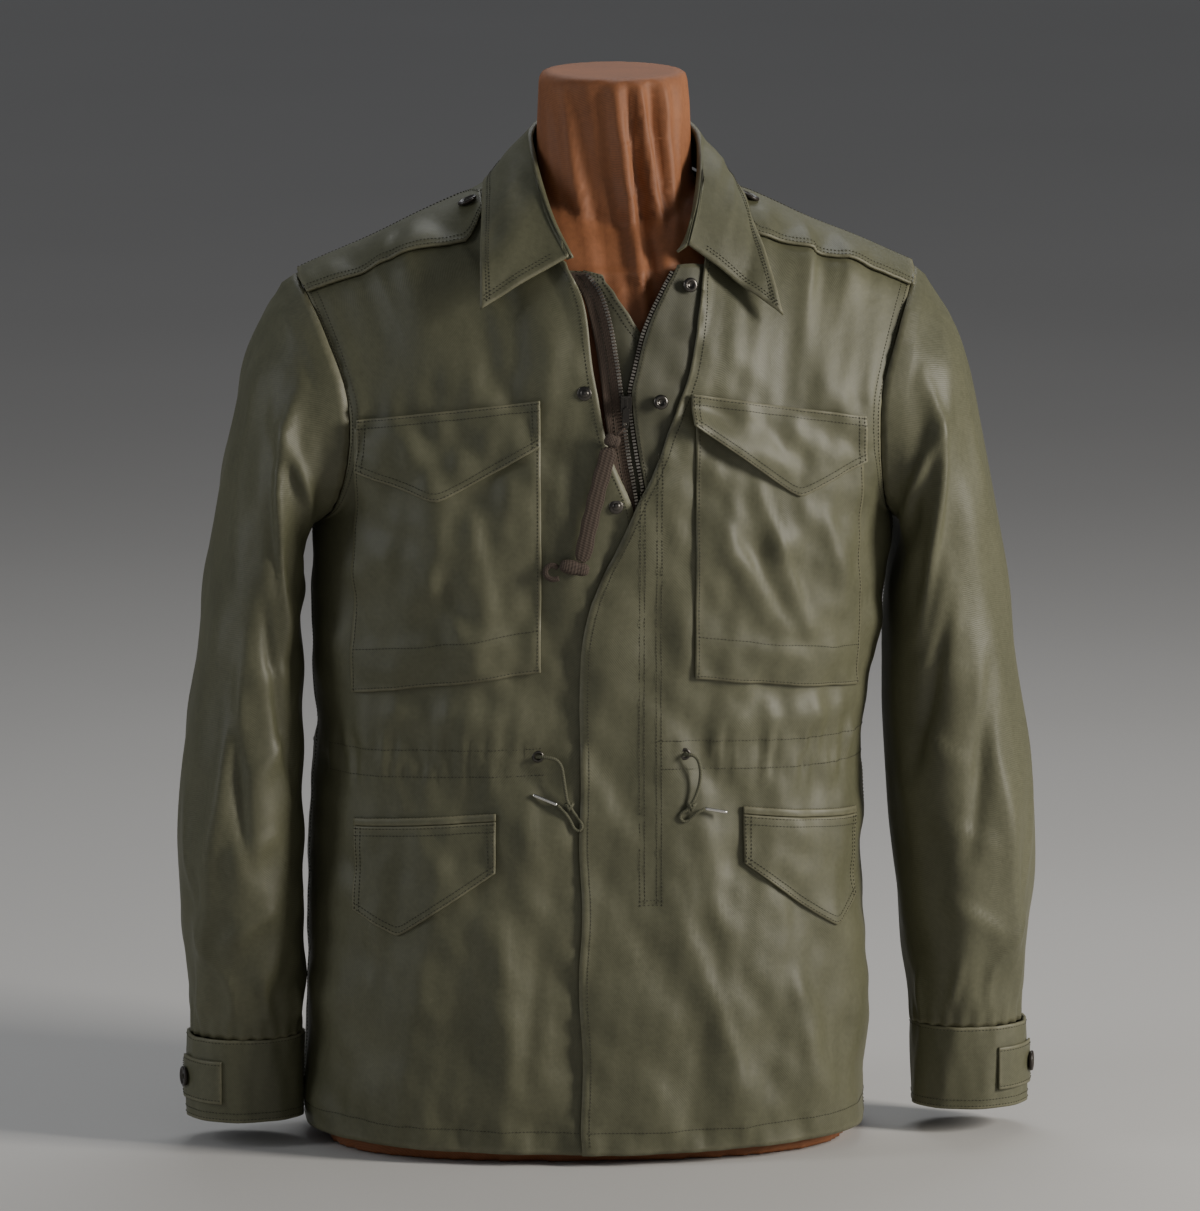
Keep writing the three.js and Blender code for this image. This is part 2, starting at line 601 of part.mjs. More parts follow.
// A number for each point, the same for points that coincide
function pointNumbers(points) {
  const numbers = new Map();
  return points.map((point) => {
    const place = point.toArray().map((value) => Math.round(value * 500)).join();
    if (!numbers.has(place)) {
      numbers.set(place, numbers.size);
    }
    return numbers.get(place);
  });
}

// A cloth wall between two grids of points. A ring grid closes on itself along its rows,
// and keep, where it is given, says which squares of the grid are cloth.
function wallGeometry(outer, inner, ring, keep) {
  const columns = outer[0].length;
  const outerPoints = outer.flat();
  const back = outerPoints.length;
  const numbers = pointNumbers(outerPoints);
  const skin = [];
  for (let row = 0; row < outer.length - 1; row += 1) {
    for (let column = 0; column < (ring ? columns : columns - 1); column += 1) {
      if (keep && !keep(row, column)) {
        continue;
      }
      const next = (column + 1) % columns;
      const a = row * columns + column;
      const b = row * columns + next;
      pushQuad(skin, a, b, b + columns, a + columns);
    }
  }
  const used = skin.filter(([a, b, c]) => (
    numbers[a] !== numbers[b] && numbers[b] !== numbers[c] && numbers[c] !== numbers[a]
  ));
  const edges = new Map();
  for (const [a, b, c] of used) {
    for (const [from, to] of [[a, b], [b, c], [c, a]]) {
      edges.set(`${numbers[from]}_${numbers[to]}`, [from, to]);
    }
  }
  const faces = [];
  for (const [a, b, c] of used) {
    faces.push([a, b, c], [back + c, back + b, back + a]);
  }
  for (const [from, to] of edges.values()) {
    if (!edges.has(`${numbers[to]}_${numbers[from]}`)) {
      pushQuad(faces, to, from, back + from, back + to);
    }
  }
  return closedGeometry([...outerPoints, ...inner.flat()], faces);
}

function addPiece(name, geometry, finish) {
  const mesh = new THREE.Mesh(geometry, materials[finish]);
  mesh.name = name;
  jacket.add(mesh);
  return mesh;
}

// Body panels

// The share of a row at which it meets an edge given by height, negative past the centre line
function acrossAtEdge(side, station, edge) {
  let across = 0;
  for (let pass = 0; pass < 12; pass += 1) {
    const height = basePoint('front', side, Math.abs(across), station).z;
    const x = readTable(edge, 'height', height, 'x');
    const past = (x - NECK_MIDDLE_X) * side < 0 && station <= NECK_START;
    across = past ? -acrossAt('front', -side, station, x) : acrossAt('front', side, station, x);
  }
  return across;
}

// How far the side seam and the armhole seam stand back from the row's end
function seamStop(face, side, station) {
  const length = rowStart(face, side, station).distanceTo(rowEnd(face, side, station));
  return 1 - SEAM_GAP / 2 / length;
}

// A front panel from its cut edge, given by height, to the side
function frontPanel(side, edge, columns, raise) {
  const outer = [];
  const inner = [];
  for (const nominal of PANEL_STATIONS) {
    const station = Math.min(nominal, SHOULDER_STOP);
    const start = acrossAtEdge(side, station, edge);
    const stop = seamStop('front', side, station);
    const outerLine = [];
    const innerLine = [];
    for (let column = 0; column < columns; column += 1) {
      const signed = mix(start, stop, column / (columns - 1));
      const half = signed < 0 ? -side : side;
      const flat = basePoint('front', half, Math.abs(signed), station);
      const lift = raise ? raise(flat.x, flat.z) : 0;
      outerLine.push(bodyPoint('front', half, Math.abs(signed), station, lift));
      innerLine.push(bodyPoint('front', half, Math.abs(signed), station, lift - WALL));
    }
    outer.push(outerLine);
    inner.push(innerLine);
  }
  return wallGeometry(outer, inner, false);
}

// The left front stands clear of the zip and the right front that it covers
function flyRaise(x, z) {
  const free = readTable(FLY_EDGE, 'height', z, 'x');
  const flat = Math.max(free + FLY_FLAT, ZIP_COVER_X);
  const overZip = 1 - smoothStep(flat, flat + FLY_SLOPE, x);
  return FLY_LIFT * overZip * smoothStep(FLY_FADE_TOP, FLY_FADE_BOTTOM, z);
}

// The back: its two halves meet at the centre line and part round the neckline
function backPanel(halfColumns) {
  const outer = [];
  const inner = [];
  for (const nominal of PANEL_STATIONS) {
    const station = Math.min(nominal, SHOULDER_STOP);
    const outerLine = [];
    const innerLine = [];
    for (let column = 0; column < 2 * halfColumns; column += 1) {
      const side = column < halfColumns ? -1 : 1;
      const step = side < 0 ? halfColumns - 1 - column : column - halfColumns;
      const across = Math.min(step / (halfColumns - 1), seamStop('back', side, station));
      outerLine.push(bodyPoint('back', side, across, station, 0));
      innerLine.push(bodyPoint('back', side, across, station, -WALL));
    }
    outer.push(outerLine);
    inner.push(innerLine);
  }
  const keep = (row, column) => column !== halfColumns - 1 || PANEL_STATIONS[row + 1] <= NECK_START;
  return wallGeometry(outer, inner, false, keep);
}

// Strips that follow the zip, by height on the front: each column has its own x and depth
function frontStrip(heights, columns) {
  const grid = (depth) => heights.map((z) => (
    columns.map((column) => pointAt('front', column.x(z), z, column[depth]))
  ));
  return wallGeometry(grid('top'), grid('bottom'), false);
}

// Sleeves

function sleeveFold(turn, share) {
  const folds = SLEEVE_FOLDS.map((fold) => ({
    fromX: fold.fromTurn * TURN_TO_MM,
    fromZ: fold.fromShare * SLEEVE_LENGTH,
    toX: fold.toTurn * TURN_TO_MM,
    toZ: fold.toShare * SLEEVE_LENGTH,
    width: fold.width,
    height: fold.height,
  }));
  return foldHeight(folds, turn * TURN_TO_MM, share * SLEEVE_LENGTH);
}

// The armhole seam at a place on the sleeve's ring, from the shoulder point round the front
function armholePoint(side, place) {
  const face = place <= 0.5 ? 'front' : 'back';
  const climb = Math.abs(1 - 2 * place);
  return rowEnd(face, side, mix(UNDERARM, 1, climb));
}

function sleeveRing(side, section, armholeMiddle) {
  const inX = side > 0 ? section.innerLeft : section.innerRight;
  const middleX = (section.outX + inX) / 2;
  const middle = new THREE.Vector3(middleX * side, section.middleY, (section.outZ + section.inZ) / 2);
  const half = new THREE.Vector3((section.outX - inX) / 2 * side, 0, (section.outZ - section.inZ) / 2);
  return Array.from({ length: SLEEVE_RING }, (_, index) => {
    const place = index / SLEEVE_RING;
    const turn = place * 2 * Math.PI;
    const round = middle.clone().addScaledVector(half, Math.cos(turn));
    round.y -= section.depth * Math.sin(turn);
    const sewn = armholePoint(side, place).sub(armholeMiddle).add(middle);
    return round.lerp(sewn, section.onArmhole);
  });
}

// Outward directions of a tube's points
function tubeNormals(rings) {
  const normals = rings.map((ring, row) => ring.map((point, column) => {
    const before = ring[(column + ring.length - 1) % ring.length];
    const after = ring[(column + 1) % ring.length];
    const below = rings[Math.max(row - 1, 0)][column];
    const above = rings[Math.min(row + 1, rings.length - 1)][column];
    const around = after.clone().sub(before);
    return around.cross(above.clone().sub(below)).normalize();
  }));
  let outward = 0;
  rings.forEach((ring, row) => {
    const middle = new THREE.Vector3();
    ring.forEach((point) => middle.addScaledVector(point, 1 / ring.length));
    ring.forEach((point, column) => {
      outward += normals[row][column].dot(point.clone().sub(middle));
    });
  });
  if (outward < 0) {
    normals.flat().forEach((normal) => normal.negate());
  }
  return normals;
}

function movedRings(rings, normals, distance) {
  return rings.map((ring, row) => ring.map((point, column) => (
    point.clone().addScaledVector(normals[row][column], distance(row, column))
  )));
}

function sleeve(side) {
  const middle = new THREE.Vector3(side * ARMHOLE_MIDDLE.x, ARMHOLE_MIDDLE.y, ARMHOLE_MIDDLE.z);
  const head = Array.from({ length: SLEEVE_RING }, (_, index) => {
    const point = armholePoint(side, index / SLEEVE_RING);
    point.x += side * 2 * SEAM_GAP;
    return point;
  });
  const rings = [head, ...SLEEVE_SECTIONS.map((section) => sleeveRing(side, section, middle))];
  const plainNormals = tubeNormals(rings);
  const last = rings.length - 1;
  const outer = movedRings(rings, plainNormals, (row, column) => {
    const share = 1 - row / last;
    const fade = smoothStep(0, 0.12, share) * smoothStep(1, 0.85, share);
    return fade * sleeveFold(column / SLEEVE_RING * 360, share);
  });
  const inner = movedRings(outer, tubeNormals(outer), () => -WALL);
  return wallGeometry(outer, inner, true);
}

// Cuffs and their tabs

function cuffPoint(side, turn, z, lift) {
  const angle = THREE.MathUtils.degToRad(turn);
  return new THREE.Vector3(
    side * (CUFF_MIDDLE_X + (CUFF_HALF_WIDTH + lift) * Math.cos(angle)),
    CUFF_MIDDLE_Y - (CUFF_HALF_DEPTH + lift) * Math.sin(angle),
    z,
  );
}

function cuff(side) {
  const ring = (z, lift) => Array.from({ length: SLEEVE_RING }, (_, index) => (
    cuffPoint(side, index / SLEEVE_RING * 360, z, lift)
  ));
  const heights = [CUFF_BOTTOM, (CUFF_BOTTOM + CUFF_TOP) / 2, CUFF_TOP];
  const outer = heights.map((z) => ring(z, 0));
  const inner = heights.map((z) => ring(z, -CUFF_WALL));
  return wallGeometry(outer, inner, true);
}

function cuffTab(side) {
  const turns = [CUFF_TAB_START, 54, 36, 18, 4, -6, CUFF_TAB_TIP];
  const shares = [-1, 0, 1];
  const halfAt = (turn) => CUFF_TAB_WIDTH / 2 * Math.min(1, 0.08 + (turn - CUFF_TAB_TIP) / CUFF_TAB_POINT);
  const place = (lift) => turns.map((turn) => shares.map((share) => (
    cuffPoint(side, turn, CUFF_TAB_HEIGHT + share * halfAt(turn), lift)
  )));
  return wallGeometry(place(CUFF_TAB_LIFT + PATCH_WALL), place(CUFF_TAB_LIFT), false);
}

// Pockets and flaps on the fronts

function chestLift(pocket, x, z) {
  const across = THREE.MathUtils.clamp((x - pocket.innerX) / (pocket.outerX - pocket.innerX), 0, 1);
  const top = mix(pocket.innerTop, pocket.outerTop, across);
  const bottom = mix(pocket.innerBottom, pocket.outerBottom, across);
  const up = THREE.MathUtils.clamp((z - bottom) / (top - bottom), 0, 1);
  return PATCH_LIFT + POCKET_SWELL * Math.sin(Math.PI * across) * Math.sin(Math.PI * up) ** 0.7;
}

// What a patch is sewn on may stand above the body surface
function panelRaise(x, z) {
  return x > NECK_MIDDLE_X ? flyRaise(x, z) : 0;
}

function patchGeometry(rows, columns, place, liftAt) {
  const grid = (extra) => Array.from({ length: rows }, (_, row) => (
    Array.from({ length: columns }, (__, column) => {
      const { x, z } = place(row / (rows - 1), column / (columns - 1));
      return pointAt('front', x, z, liftAt(x, z) + panelRaise(x, z) + extra);
    })
  ));
  return wallGeometry(grid(PATCH_WALL), grid(0), false);
}

function chestPocket(pocket) {
  const place = (up, across) => ({
    x: mix(pocket.innerX, pocket.outerX, across),
    z: mix(
      mix(pocket.innerBottom, pocket.outerBottom, across),
      mix(pocket.innerTop, pocket.outerTop, across),
      up,
    ),
  });
  return patchGeometry(10, 9, place, (x, z) => chestLift(pocket, x, z));
}

// A flap hangs from its top edge to two sides and a point
function flap(shape, liftAt) {
  const pointShare = (shape.pointX - shape.innerX) / (shape.outerX - shape.innerX);
  const place = (down, across) => {
    const top = mix(shape.innerTop, shape.outerTop, across);
    const bottom = across < pointShare
      ? mix(shape.innerSide, shape.pointZ, across / pointShare)
      : mix(shape.pointZ, shape.outerSide, (across - pointShare) / (1 - pointShare));
    return { x: mix(shape.innerX, shape.outerX, across), z: mix(top, bottom, down) };
  };
  const bent = (down, share) => {
    const across = share < 0.5 ? share * 2 * pointShare : mix(pointShare, 1, share * 2 - 1);
    return place(down, across);
  };
  return patchGeometry(5, 9, bent, liftAt);
}

function hipWelt(shape) {
  const place = (up, across) => ({
    x: mix(shape.innerX, shape.outerX, across),
    z: mix(shape.innerTop, shape.outerTop, across) + 0.5 + WELT_HEIGHT * up,
  });
  return patchGeometry(2, 7, place, () => PATCH_LIFT);
}

// Zip layers under the fly

function chainX(z, chain) {
  return readTable(ZIP_CHAINS, 'height', z, chain);
}

function zipTape(side) {
  const chain = side > 0 ? 'left' : 'right';
  const heights = [ZIP_BOTTOM, 260, 320, 380, 440, 490, 530, 570, 600, 620, 643, 665, 685, 700];
  const columns = [
    { x: (z) => chainX(z, chain) - side * CHAIN_HALF, top: CHAIN_TOP, bottom: TAPE_BOTTOM },
    { x: (z) => chainX(z, chain) + side * CHAIN_HALF, top: CHAIN_TOP, bottom: TAPE_BOTTOM },
    { x: (z) => chainX(z, chain) + side * (CHAIN_HALF + 0.6), top: TAPE_TOP, bottom: TAPE_BOTTOM },
    { x: (z) => chainX(z, chain) + side * TAPE_REACH, top: TAPE_TOP, bottom: TAPE_BOTTOM },
  ];
  return frontStrip(heights, columns);
}

function zipFacing() {
  const heights = [ZIP_BOTTOM, 280, 350, 420, 480, 520, 550, 580, 605, 630, 660, 685, 703];
  const free = (z) => Math.max(readTable(FLY_EDGE, 'height', z, 'x') + 10, 33);
  const start = (z) => chainX(z, 'left') + 3.2;
  const columns = [0, 0.5, 1].map((share) => ({
    x: (z) => mix(start(z), free(z), share),
    top: 0,
    bottom: -FACING_WALL,
  }));
  return frontStrip(heights, columns);
}

function zipGuard() {
  const heights = [500, 560, 610, 640, 660, 675, 690, 702];
  const start = (z) => chainX(z, 'right') - 14;
  const free = (z) => readTable(GUARD_EDGE, 'height', z, 'x');
  const columns = [0, 0.5, 1].map((share) => ({
    x: (z) => mix(start(z), free(z), share),
    top: GUARD_TOP,
    bottom: GUARD_TOP - GUARD_WALL,
  }));
  return frontStrip(heights, columns);
}

// Collar: one folded wall, stand inside and fall outside

function collarStation(side, share) {
  const table = side > 0 ? COLLAR_LEFT : COLLAR_RIGHT;
  const read = (column) => readTable(table, 'share', share, column);
  const face = share <= 1 ? 'back' : 'front';
  const station = share <= 1 ? mix(NECK_START, 1, share) : mix(1, NECK_START, share - 1);
  const base = rowStart(face, side, station);
  const fold = new THREE.Vector3(read('foldX'), read('foldY'), read('foldZ'));
  const edge = new THREE.Vector3(read('edgeX'), read('edgeY'), read('edgeZ'));
  const away = edge.clone().sub(fold).setZ(0).normalize();
  base.addScaledVector(away, -WALL / 2).setZ(base.z + COLLAR_WALL / 2 + 1);
  const foldInner = fold.clone().addScaledVector(away, -COLLAR_FOLD);
  const foldOuter = fold.clone().addScaledVector(away, COLLAR_FOLD);
  foldInner.z -= COLLAR_FOLD;
  foldOuter.z -= COLLAR_FOLD;
  const swell = (point, amount) => point.addScaledVector(away, amount);
  return [
    base,
    base.clone().lerp(foldInner, 0.5),
    foldInner,
    fold,
    foldOuter,
    swell(foldOuter.clone().lerp(edge, 0.35), COLLAR_SWELL),
    swell(foldOuter.clone().lerp(edge, 0.7), COLLAR_SWELL * 0.7),
    edge,
  ];
}

function collar() {
  const halfShares = [0.15, 0.3, 0.45, 0.6, 0.74, 0.88, 1, 1.1, 1.2, 1.3, 1.4, 1.5];
  const rightShares = [1.66, 1.58, ...halfShares.slice().reverse()];
  const leftShares = [...halfShares, 1.56, 1.6];
  const rows = [
    ...rightShares.map((share) => collarStation(-1, share)),
    collarStation(1, 0),
    ...leftShares.map((share) => collarStation(1, share)),
  ];
  const normals = rows.map((line, row) => line.map((point, column) => {
    const nextRow = rows[Math.min(row + 1, rows.length - 1)];
    const lastRow = rows[Math.max(row - 1, 0)];
    const along = nextRow[column].clone().sub(lastRow[column]);
    const across = line[Math.min(column + 1, line.length - 1)].clone().sub(line[Math.max(column - 1, 0)]);
    return along.cross(across).normalize();
  }));
  const moved = (distance) => movedRings(rows, normals, () => distance);
  return wallGeometry(moved(COLLAR_WALL / 2), moved(-COLLAR_WALL / 2), false);
}

// Shoulder straps lie along the shoulder seam, a little in front of it

function strapPoint(side, x, across, lift) {
  const face = across < STRAP_SEAM_SHARE ? 'front' : 'back';
  const station = face === 'front'
    ? mix(STRAP_FRONT_STATION, 1, across / STRAP_SEAM_SHARE)
    : mix(1, STRAP_BACK_STATION, (across - STRAP_SEAM_SHARE) / (1 - STRAP_SEAM_SHARE));
  const share = acrossAt(face, side, station, side * x);
  return bodyPoint(face, side, share, station, lift);
}

function shoulderStrap(side) {
  const lengths = [0, 0.05, 0.1, 0.24, 0.38, 0.52, 0.66, 0.8, 0.9, 1];
  const shares = [0, 0.25, 0.5, STRAP_SEAM_SHARE, 1];
  const narrow = (length) => mix(STRAP_TIP_SHARE, 1, Math.min(1, length * 10));
  const place = (lift) => lengths.map((length) => shares.map((share) => {
    const across = 0.5 + (share - 0.5) * narrow(length);
    return strapPoint(side, mix(STRAP_START_X, STRAP_END_X, length), across, lift);
  }));
  return wallGeometry(place(STRAP_LIFT + STRAP_WALL), place(STRAP_LIFT), false);
}

// Dress form

function formPoint(face, side, across, station) {
  const gap = FORM_SHOULDER_GAP + FORM_WAIST_GAP * smoothStep(1, 0.86, station);
  const point = basePoint(face, side, across, station);
  return point.addScaledVector(baseNormal(face, side, across, station), -WALL - gap);
}

function pushFan(faces, middle, line, reverse) {
  for (let index = 0; index < line.length - 1; index += 1) {
    const [from, to] = reverse ? [line[index + 1], line[index]] : [line[index], line[index + 1]];
    faces.push([middle, from, to]);
  }
}

function formTorso() {
  const points = [new THREE.Vector3(0, 0, 0), new THREE.Vector3(...FORM_TOP_MIDDLE)];
  const faces = [];
  const ends = {};
  for (const [face, side] of [['front', 1], ['front', -1], ['back', 1], ['back', -1]]) {
    const first = points.length;
    const turned = (face === 'front') !== (side > 0);
    const floor = Array.from({ length: FORM_COLUMNS }, (_, column) => (
      formPoint(face, side, column / (FORM_COLUMNS - 1), 0).setZ(0)
    ));
    const rows = FORM_STATIONS.map((station) => Array.from({ length: FORM_COLUMNS }, (_, column) => (
      formPoint(face, side, column / (FORM_COLUMNS - 1), station)
    )));
    points.push(...floor, ...rows.flat());
    const at = (row, column) => first + row * FORM_COLUMNS + column;
    for (let row = 0; row < FORM_STATIONS.length; row += 1) {
      for (let column = 0; column < FORM_COLUMNS - 1; column += 1) {
        const above = row + 1;
        const corners = [at(row, column), at(row, column + 1), at(above, column + 1), at(above, column)];
        pushQuad(faces, ...(turned ? corners.reverse() : corners));
      }
    }
    const floorLine = Array.from({ length: FORM_COLUMNS }, (_, column) => at(0, column));
    pushFan(faces, 0, floorLine, !turned);
    const neckRows = FORM_STATIONS.flatMap((station, row) => (station >= NECK_START ? [at(row + 1, 0)] : []));
    pushFan(faces, 1, neckRows, turned);
    ends[`${face}${side}`] = FORM_STATIONS.map((station, row) => at(row + 1, FORM_COLUMNS - 1));
  }
  for (const side of [1, -1]) {
    const frontEnds = ends[`front${side}`];
    const backEnds = ends[`back${side}`];
    for (let row = FORM_STATIONS.indexOf(UNDERARM); row < FORM_STATIONS.length - 1; row += 1) {
      const corners = [frontEnds[row], backEnds[row], backEnds[row + 1], frontEnds[row + 1]];
      pushQuad(faces, ...(side > 0 ? corners : corners.reverse()));
    }
  }
  return closedGeometry(points, faces);
}

function formNeck() {
  const sides = 28;
  const rings = FORM_NECK.map((level) => Array.from({ length: sides }, (_, index) => {
    const turn = index / sides * 2 * Math.PI;
    return new THREE.Vector3(
      level.middleX + level.radius * Math.cos(turn),
      level.middleY + level.radius * Math.sin(turn),
      level.height,
    );
  }));
  const points = rings.flat();
  const faces = [];
  for (let row = 0; row < rings.length - 1; row += 1) {
    for (let index = 0; index < sides; index += 1) {
      const next = (index + 1) % sides;
      const here = row * sides;
      const above = here + sides;
      pushQuad(faces, here + index, here + next, above + next, above + index);
    }
  }
  for (let index = 1; index < sides - 1; index += 1) {
    const top = (rings.length - 1) * sides;
    faces.push([0, index + 1, index], [top, top + index, top + index + 1]);
  }
  return closedGeometry(points, faces);
}

function solidOf(geometry) {
  return new wasm.Manifold(new wasm.Mesh({
    numProp: 3,
    vertProperties: new Float32Array(geometry.getAttribute('position').array),
    triVerts: new Uint32Array(geometry.getIndex().array),
  }));
}

function geometryOf(solid) {
  const mesh = solid.getMesh();
  const geometry = new THREE.BufferGeometry();
  geometry.setAttribute('position', new THREE.BufferAttribute(mesh.vertProperties, 3));
  geometry.setIndex(new THREE.BufferAttribute(mesh.triVerts, 1));
  geometry.computeVertexNormals();
  return geometry;
}

function dressForm() {
  return geometryOf(solidOf(formTorso()).add(solidOf(formNeck())));
}

// Round hard pieces: a profile of radius and height turned about its axis

function turned(profile, sides) {
  const points = profile.map(([radius, height]) => new THREE.Vector2(radius, height));
  return new THREE.LatheGeometry(points, sides);
}

// A turned piece set on a surface with its axis along the outward direction
function setOn(name, geometry, place, outward, finish) {
  const mesh = addPiece(name, geometry, finish);
  mesh.position.copy(place);
  mesh.quaternion.setFromUnitVectors(new THREE.Vector3(0, 1, 0), outward);
  return mesh;
}

function frontPlace(x, z, lift) {
  const place = pointAt('front', x, z, lift);
  const outward = pointAt('front', x, z, lift + 10).sub(place).normalize();
  return { place, outward };
}

function roundTube(route, radius, sides, steps) {
  const curve = new THREE.CatmullRomCurve3(route.map(([x, y, z]) => new THREE.Vector3(x, y, z)));
  const section = new THREE.Shape();
  for (let index = 0; index < sides; index += 1) {
    const turn = index / sides * 2 * Math.PI;
    const point = [radius * Math.cos(turn), radius * Math.sin(turn)];
    if (index === 0) {
      section.moveTo(...point);
    } else {
      section.lineTo(...point);
    }
  }
  section.closePath();
  return new THREE.ExtrudeGeometry(section, { steps, extrudePath: curve, bevelEnabled: false });
}

// Snap caps, buttons and eyelets: profiles of radius and height, closed on the axis

function snapGeometry() {
  return turned([
    [0, 0],
    [SNAP_RADIUS, 0],
    [SNAP_RADIUS, SNAP_HEIGHT * 0.5],
    [SNAP_RADIUS * 0.75, SNAP_HEIGHT],
    [SNAP_RADIUS * 0.45, SNAP_HEIGHT * 0.6],
    [0, SNAP_HEIGHT * 0.6],
  ], 14);
}

function buttonGeometry() {
  return turned([
    [0, 0],
    [BUTTON_RADIUS * 0.8, 0],
    [BUTTON_RADIUS, BUTTON_HEIGHT * 0.5],
    [BUTTON_RADIUS * 0.9, BUTTON_HEIGHT],
    [BUTTON_RADIUS * 0.6, BUTTON_HEIGHT * 0.75],
    [0, BUTTON_HEIGHT * 0.7],
  ], 16);
}

function eyeletGeometry() {
  return turned([
    [EYELET_HOLE, 0],
    [EYELET_RADIUS, 0],
    [EYELET_RADIUS * 0.8, EYELET_HEIGHT],
    [EYELET_HOLE, EYELET_HEIGHT * 0.8],
    [EYELET_HOLE, 0],
  ], 14);
}

function addSnaps() {
  for (const snap of SNAPS) {
    const { place, outward } = frontPlace(snap.x, snap.z, REST_GAP);
    setOn(snap.name, snapGeometry(), place, outward, 'steel');
  }
}

function addButtons() {
  for (const [name, side] of [['left', 1], ['right', -1]]) {
    const lift = CUFF_TAB_LIFT + PATCH_WALL + REST_GAP;
    const place = cuffPoint(side, CUFF_BUTTON_TURN, CUFF_TAB_HEIGHT, lift);
    const outward = cuffPoint(side, CUFF_BUTTON_TURN, CUFF_TAB_HEIGHT, lift + 10).sub(place).normalize();
    setOn(`cuff_button_${name}`, buttonGeometry(), place, outward, 'button');
    const strapLift = STRAP_LIFT + STRAP_WALL + REST_GAP;
    const seat = strapPoint(side, STRAP_BUTTON_X, 0.5, strapLift);
    const up = strapPoint(side, STRAP_BUTTON_X, 0.5, strapLift + 10).sub(seat).normalize();
    setOn(`shoulder_button_${name}`, buttonGeometry(), seat, up, 'button');
  }
}

// Slider and tab

function addZipPull() {
  const { place, outward } = frontPlace(SLIDER.x, SLIDER.z, SLIDER.lift);
  const block = new THREE.BoxGeometry(SLIDER.width, SLIDER.depth, SLIDER.height);
  const slider = addPiece('zip_slider', block, 'steel');
  slider.position.copy(place).addScaledVector(outward, SLIDER.depth / 2);
  const tab = new THREE.Shape();
  const half = TAB.width / 2;
  tab.moveTo(-half, 0);
  tab.lineTo(-half, -TAB.length + half);
  tab.absarc(0, -TAB.length + half, half, Math.PI, 2 * Math.PI, false);
  tab.lineTo(half, 0);
  tab.closePath();
  const hole = new THREE.Path();
  hole.absarc(0, -TAB.length + half + 0.6, TAB.hole, 0, 2 * Math.PI, true);
  tab.holes.push(hole);
  const plate = new THREE.ExtrudeGeometry(tab, { depth: TAB.depth, bevelEnabled: false, curveSegments: 6 });
  plate.rotateX(Math.PI / 2);
  const mesh = addPiece('zip_tab', plate, 'steel');
  mesh.position.set(SLIDER.x, place.y - SLIDER.depth - REST_GAP, TAB.top);
  mesh.rotation.y = THREE.MathUtils.degToRad(TAB.lean);
  return mesh;
}

function knotGeometry(halfX, halfY, halfZ) {
  const geometry = new THREE.SphereGeometry(1, 12, 8);
  geometry.scale(halfX, halfY, halfZ);
  return geometry;
}

function flatLace(route, width, depth) {
  const curve = new THREE.CatmullRomCurve3(route.map(([x, y, z]) => new THREE.Vector3(x, y, z)));
  const steps = route.length * 2;
  const outer = [];
  const inner = [];
  for (let step = 0; step <= steps; step += 1) {
    const place = curve.getPoint(step / steps);
    const along = curve.getTangent(step / steps);
    const across = new THREE.Vector3(0, -1, 0).cross(along).normalize().multiplyScalar(width / 2);
    const line = [-1, 0, 1].map((share) => place.clone().addScaledVector(across, share));
    outer.push(line.map((point) => point.clone().setY(point.y - depth / 2)));
    inner.push(line.map((point) => point.clone().setY(point.y + depth / 2)));
  }
  return wallGeometry(outer, inner, false);
}

function addLace() {
  addPiece('pull_lace_tie', roundTube(LACE_TIE, 1.1, 8, 4), 'tape');
  addPiece('pull_lace', flatLace(LACE_ROUTE, LACE_WIDTH, LACE_DEPTH), 'tape');
  addPiece('pull_lace_end', roundTube(LACE_END, 1.6, 8, 14), 'tape');
  for (const knot of LACE_KNOTS) {
    const geometry = knotGeometry(knot.halfX, knot.halfY, knot.halfZ);
    const mesh = addPiece(`pull_lace_knot_${knot.name}`, geometry, 'tape');
    mesh.position.set(knot.x, knot.y, knot.z);
    mesh.rotation.y = THREE.MathUtils.degToRad(knot.turn);
  }
}

function addDrawcords() {
  for (const eyelet of CORD_EYELETS) {
    const { place, outward } = frontPlace(eyelet.x, eyelet.z, REST_GAP + panelRaise(eyelet.x, eyelet.z));
    setOn(`eyelet_${eyelet.name}`, eyeletGeometry(), place, outward, 'steel');
    const cord = CORDS[eyelet.name];
    addPiece(`drawcord_${eyelet.name}`, roundTube(cord.down, CORD_RADIUS, 8, 20), 'cord');
    addPiece(`drawcord_tail_${eyelet.name}`, roundTube(cord.tail, CORD_RADIUS, 8, 18), 'cord');
    addPiece(`drawcord_aglet_${eyelet.name}`, roundTube(cord.aglet, CORD_RADIUS + 0.1, 8, 1), 'aglet');
    const { x, y, z, half } = cord.knot;
    const knot = addPiece(`drawcord_knot_${eyelet.name}`, knotGeometry(half, half, half), 'cord');
    knot.position.set(x, y, z);
  }
}

// Assembly

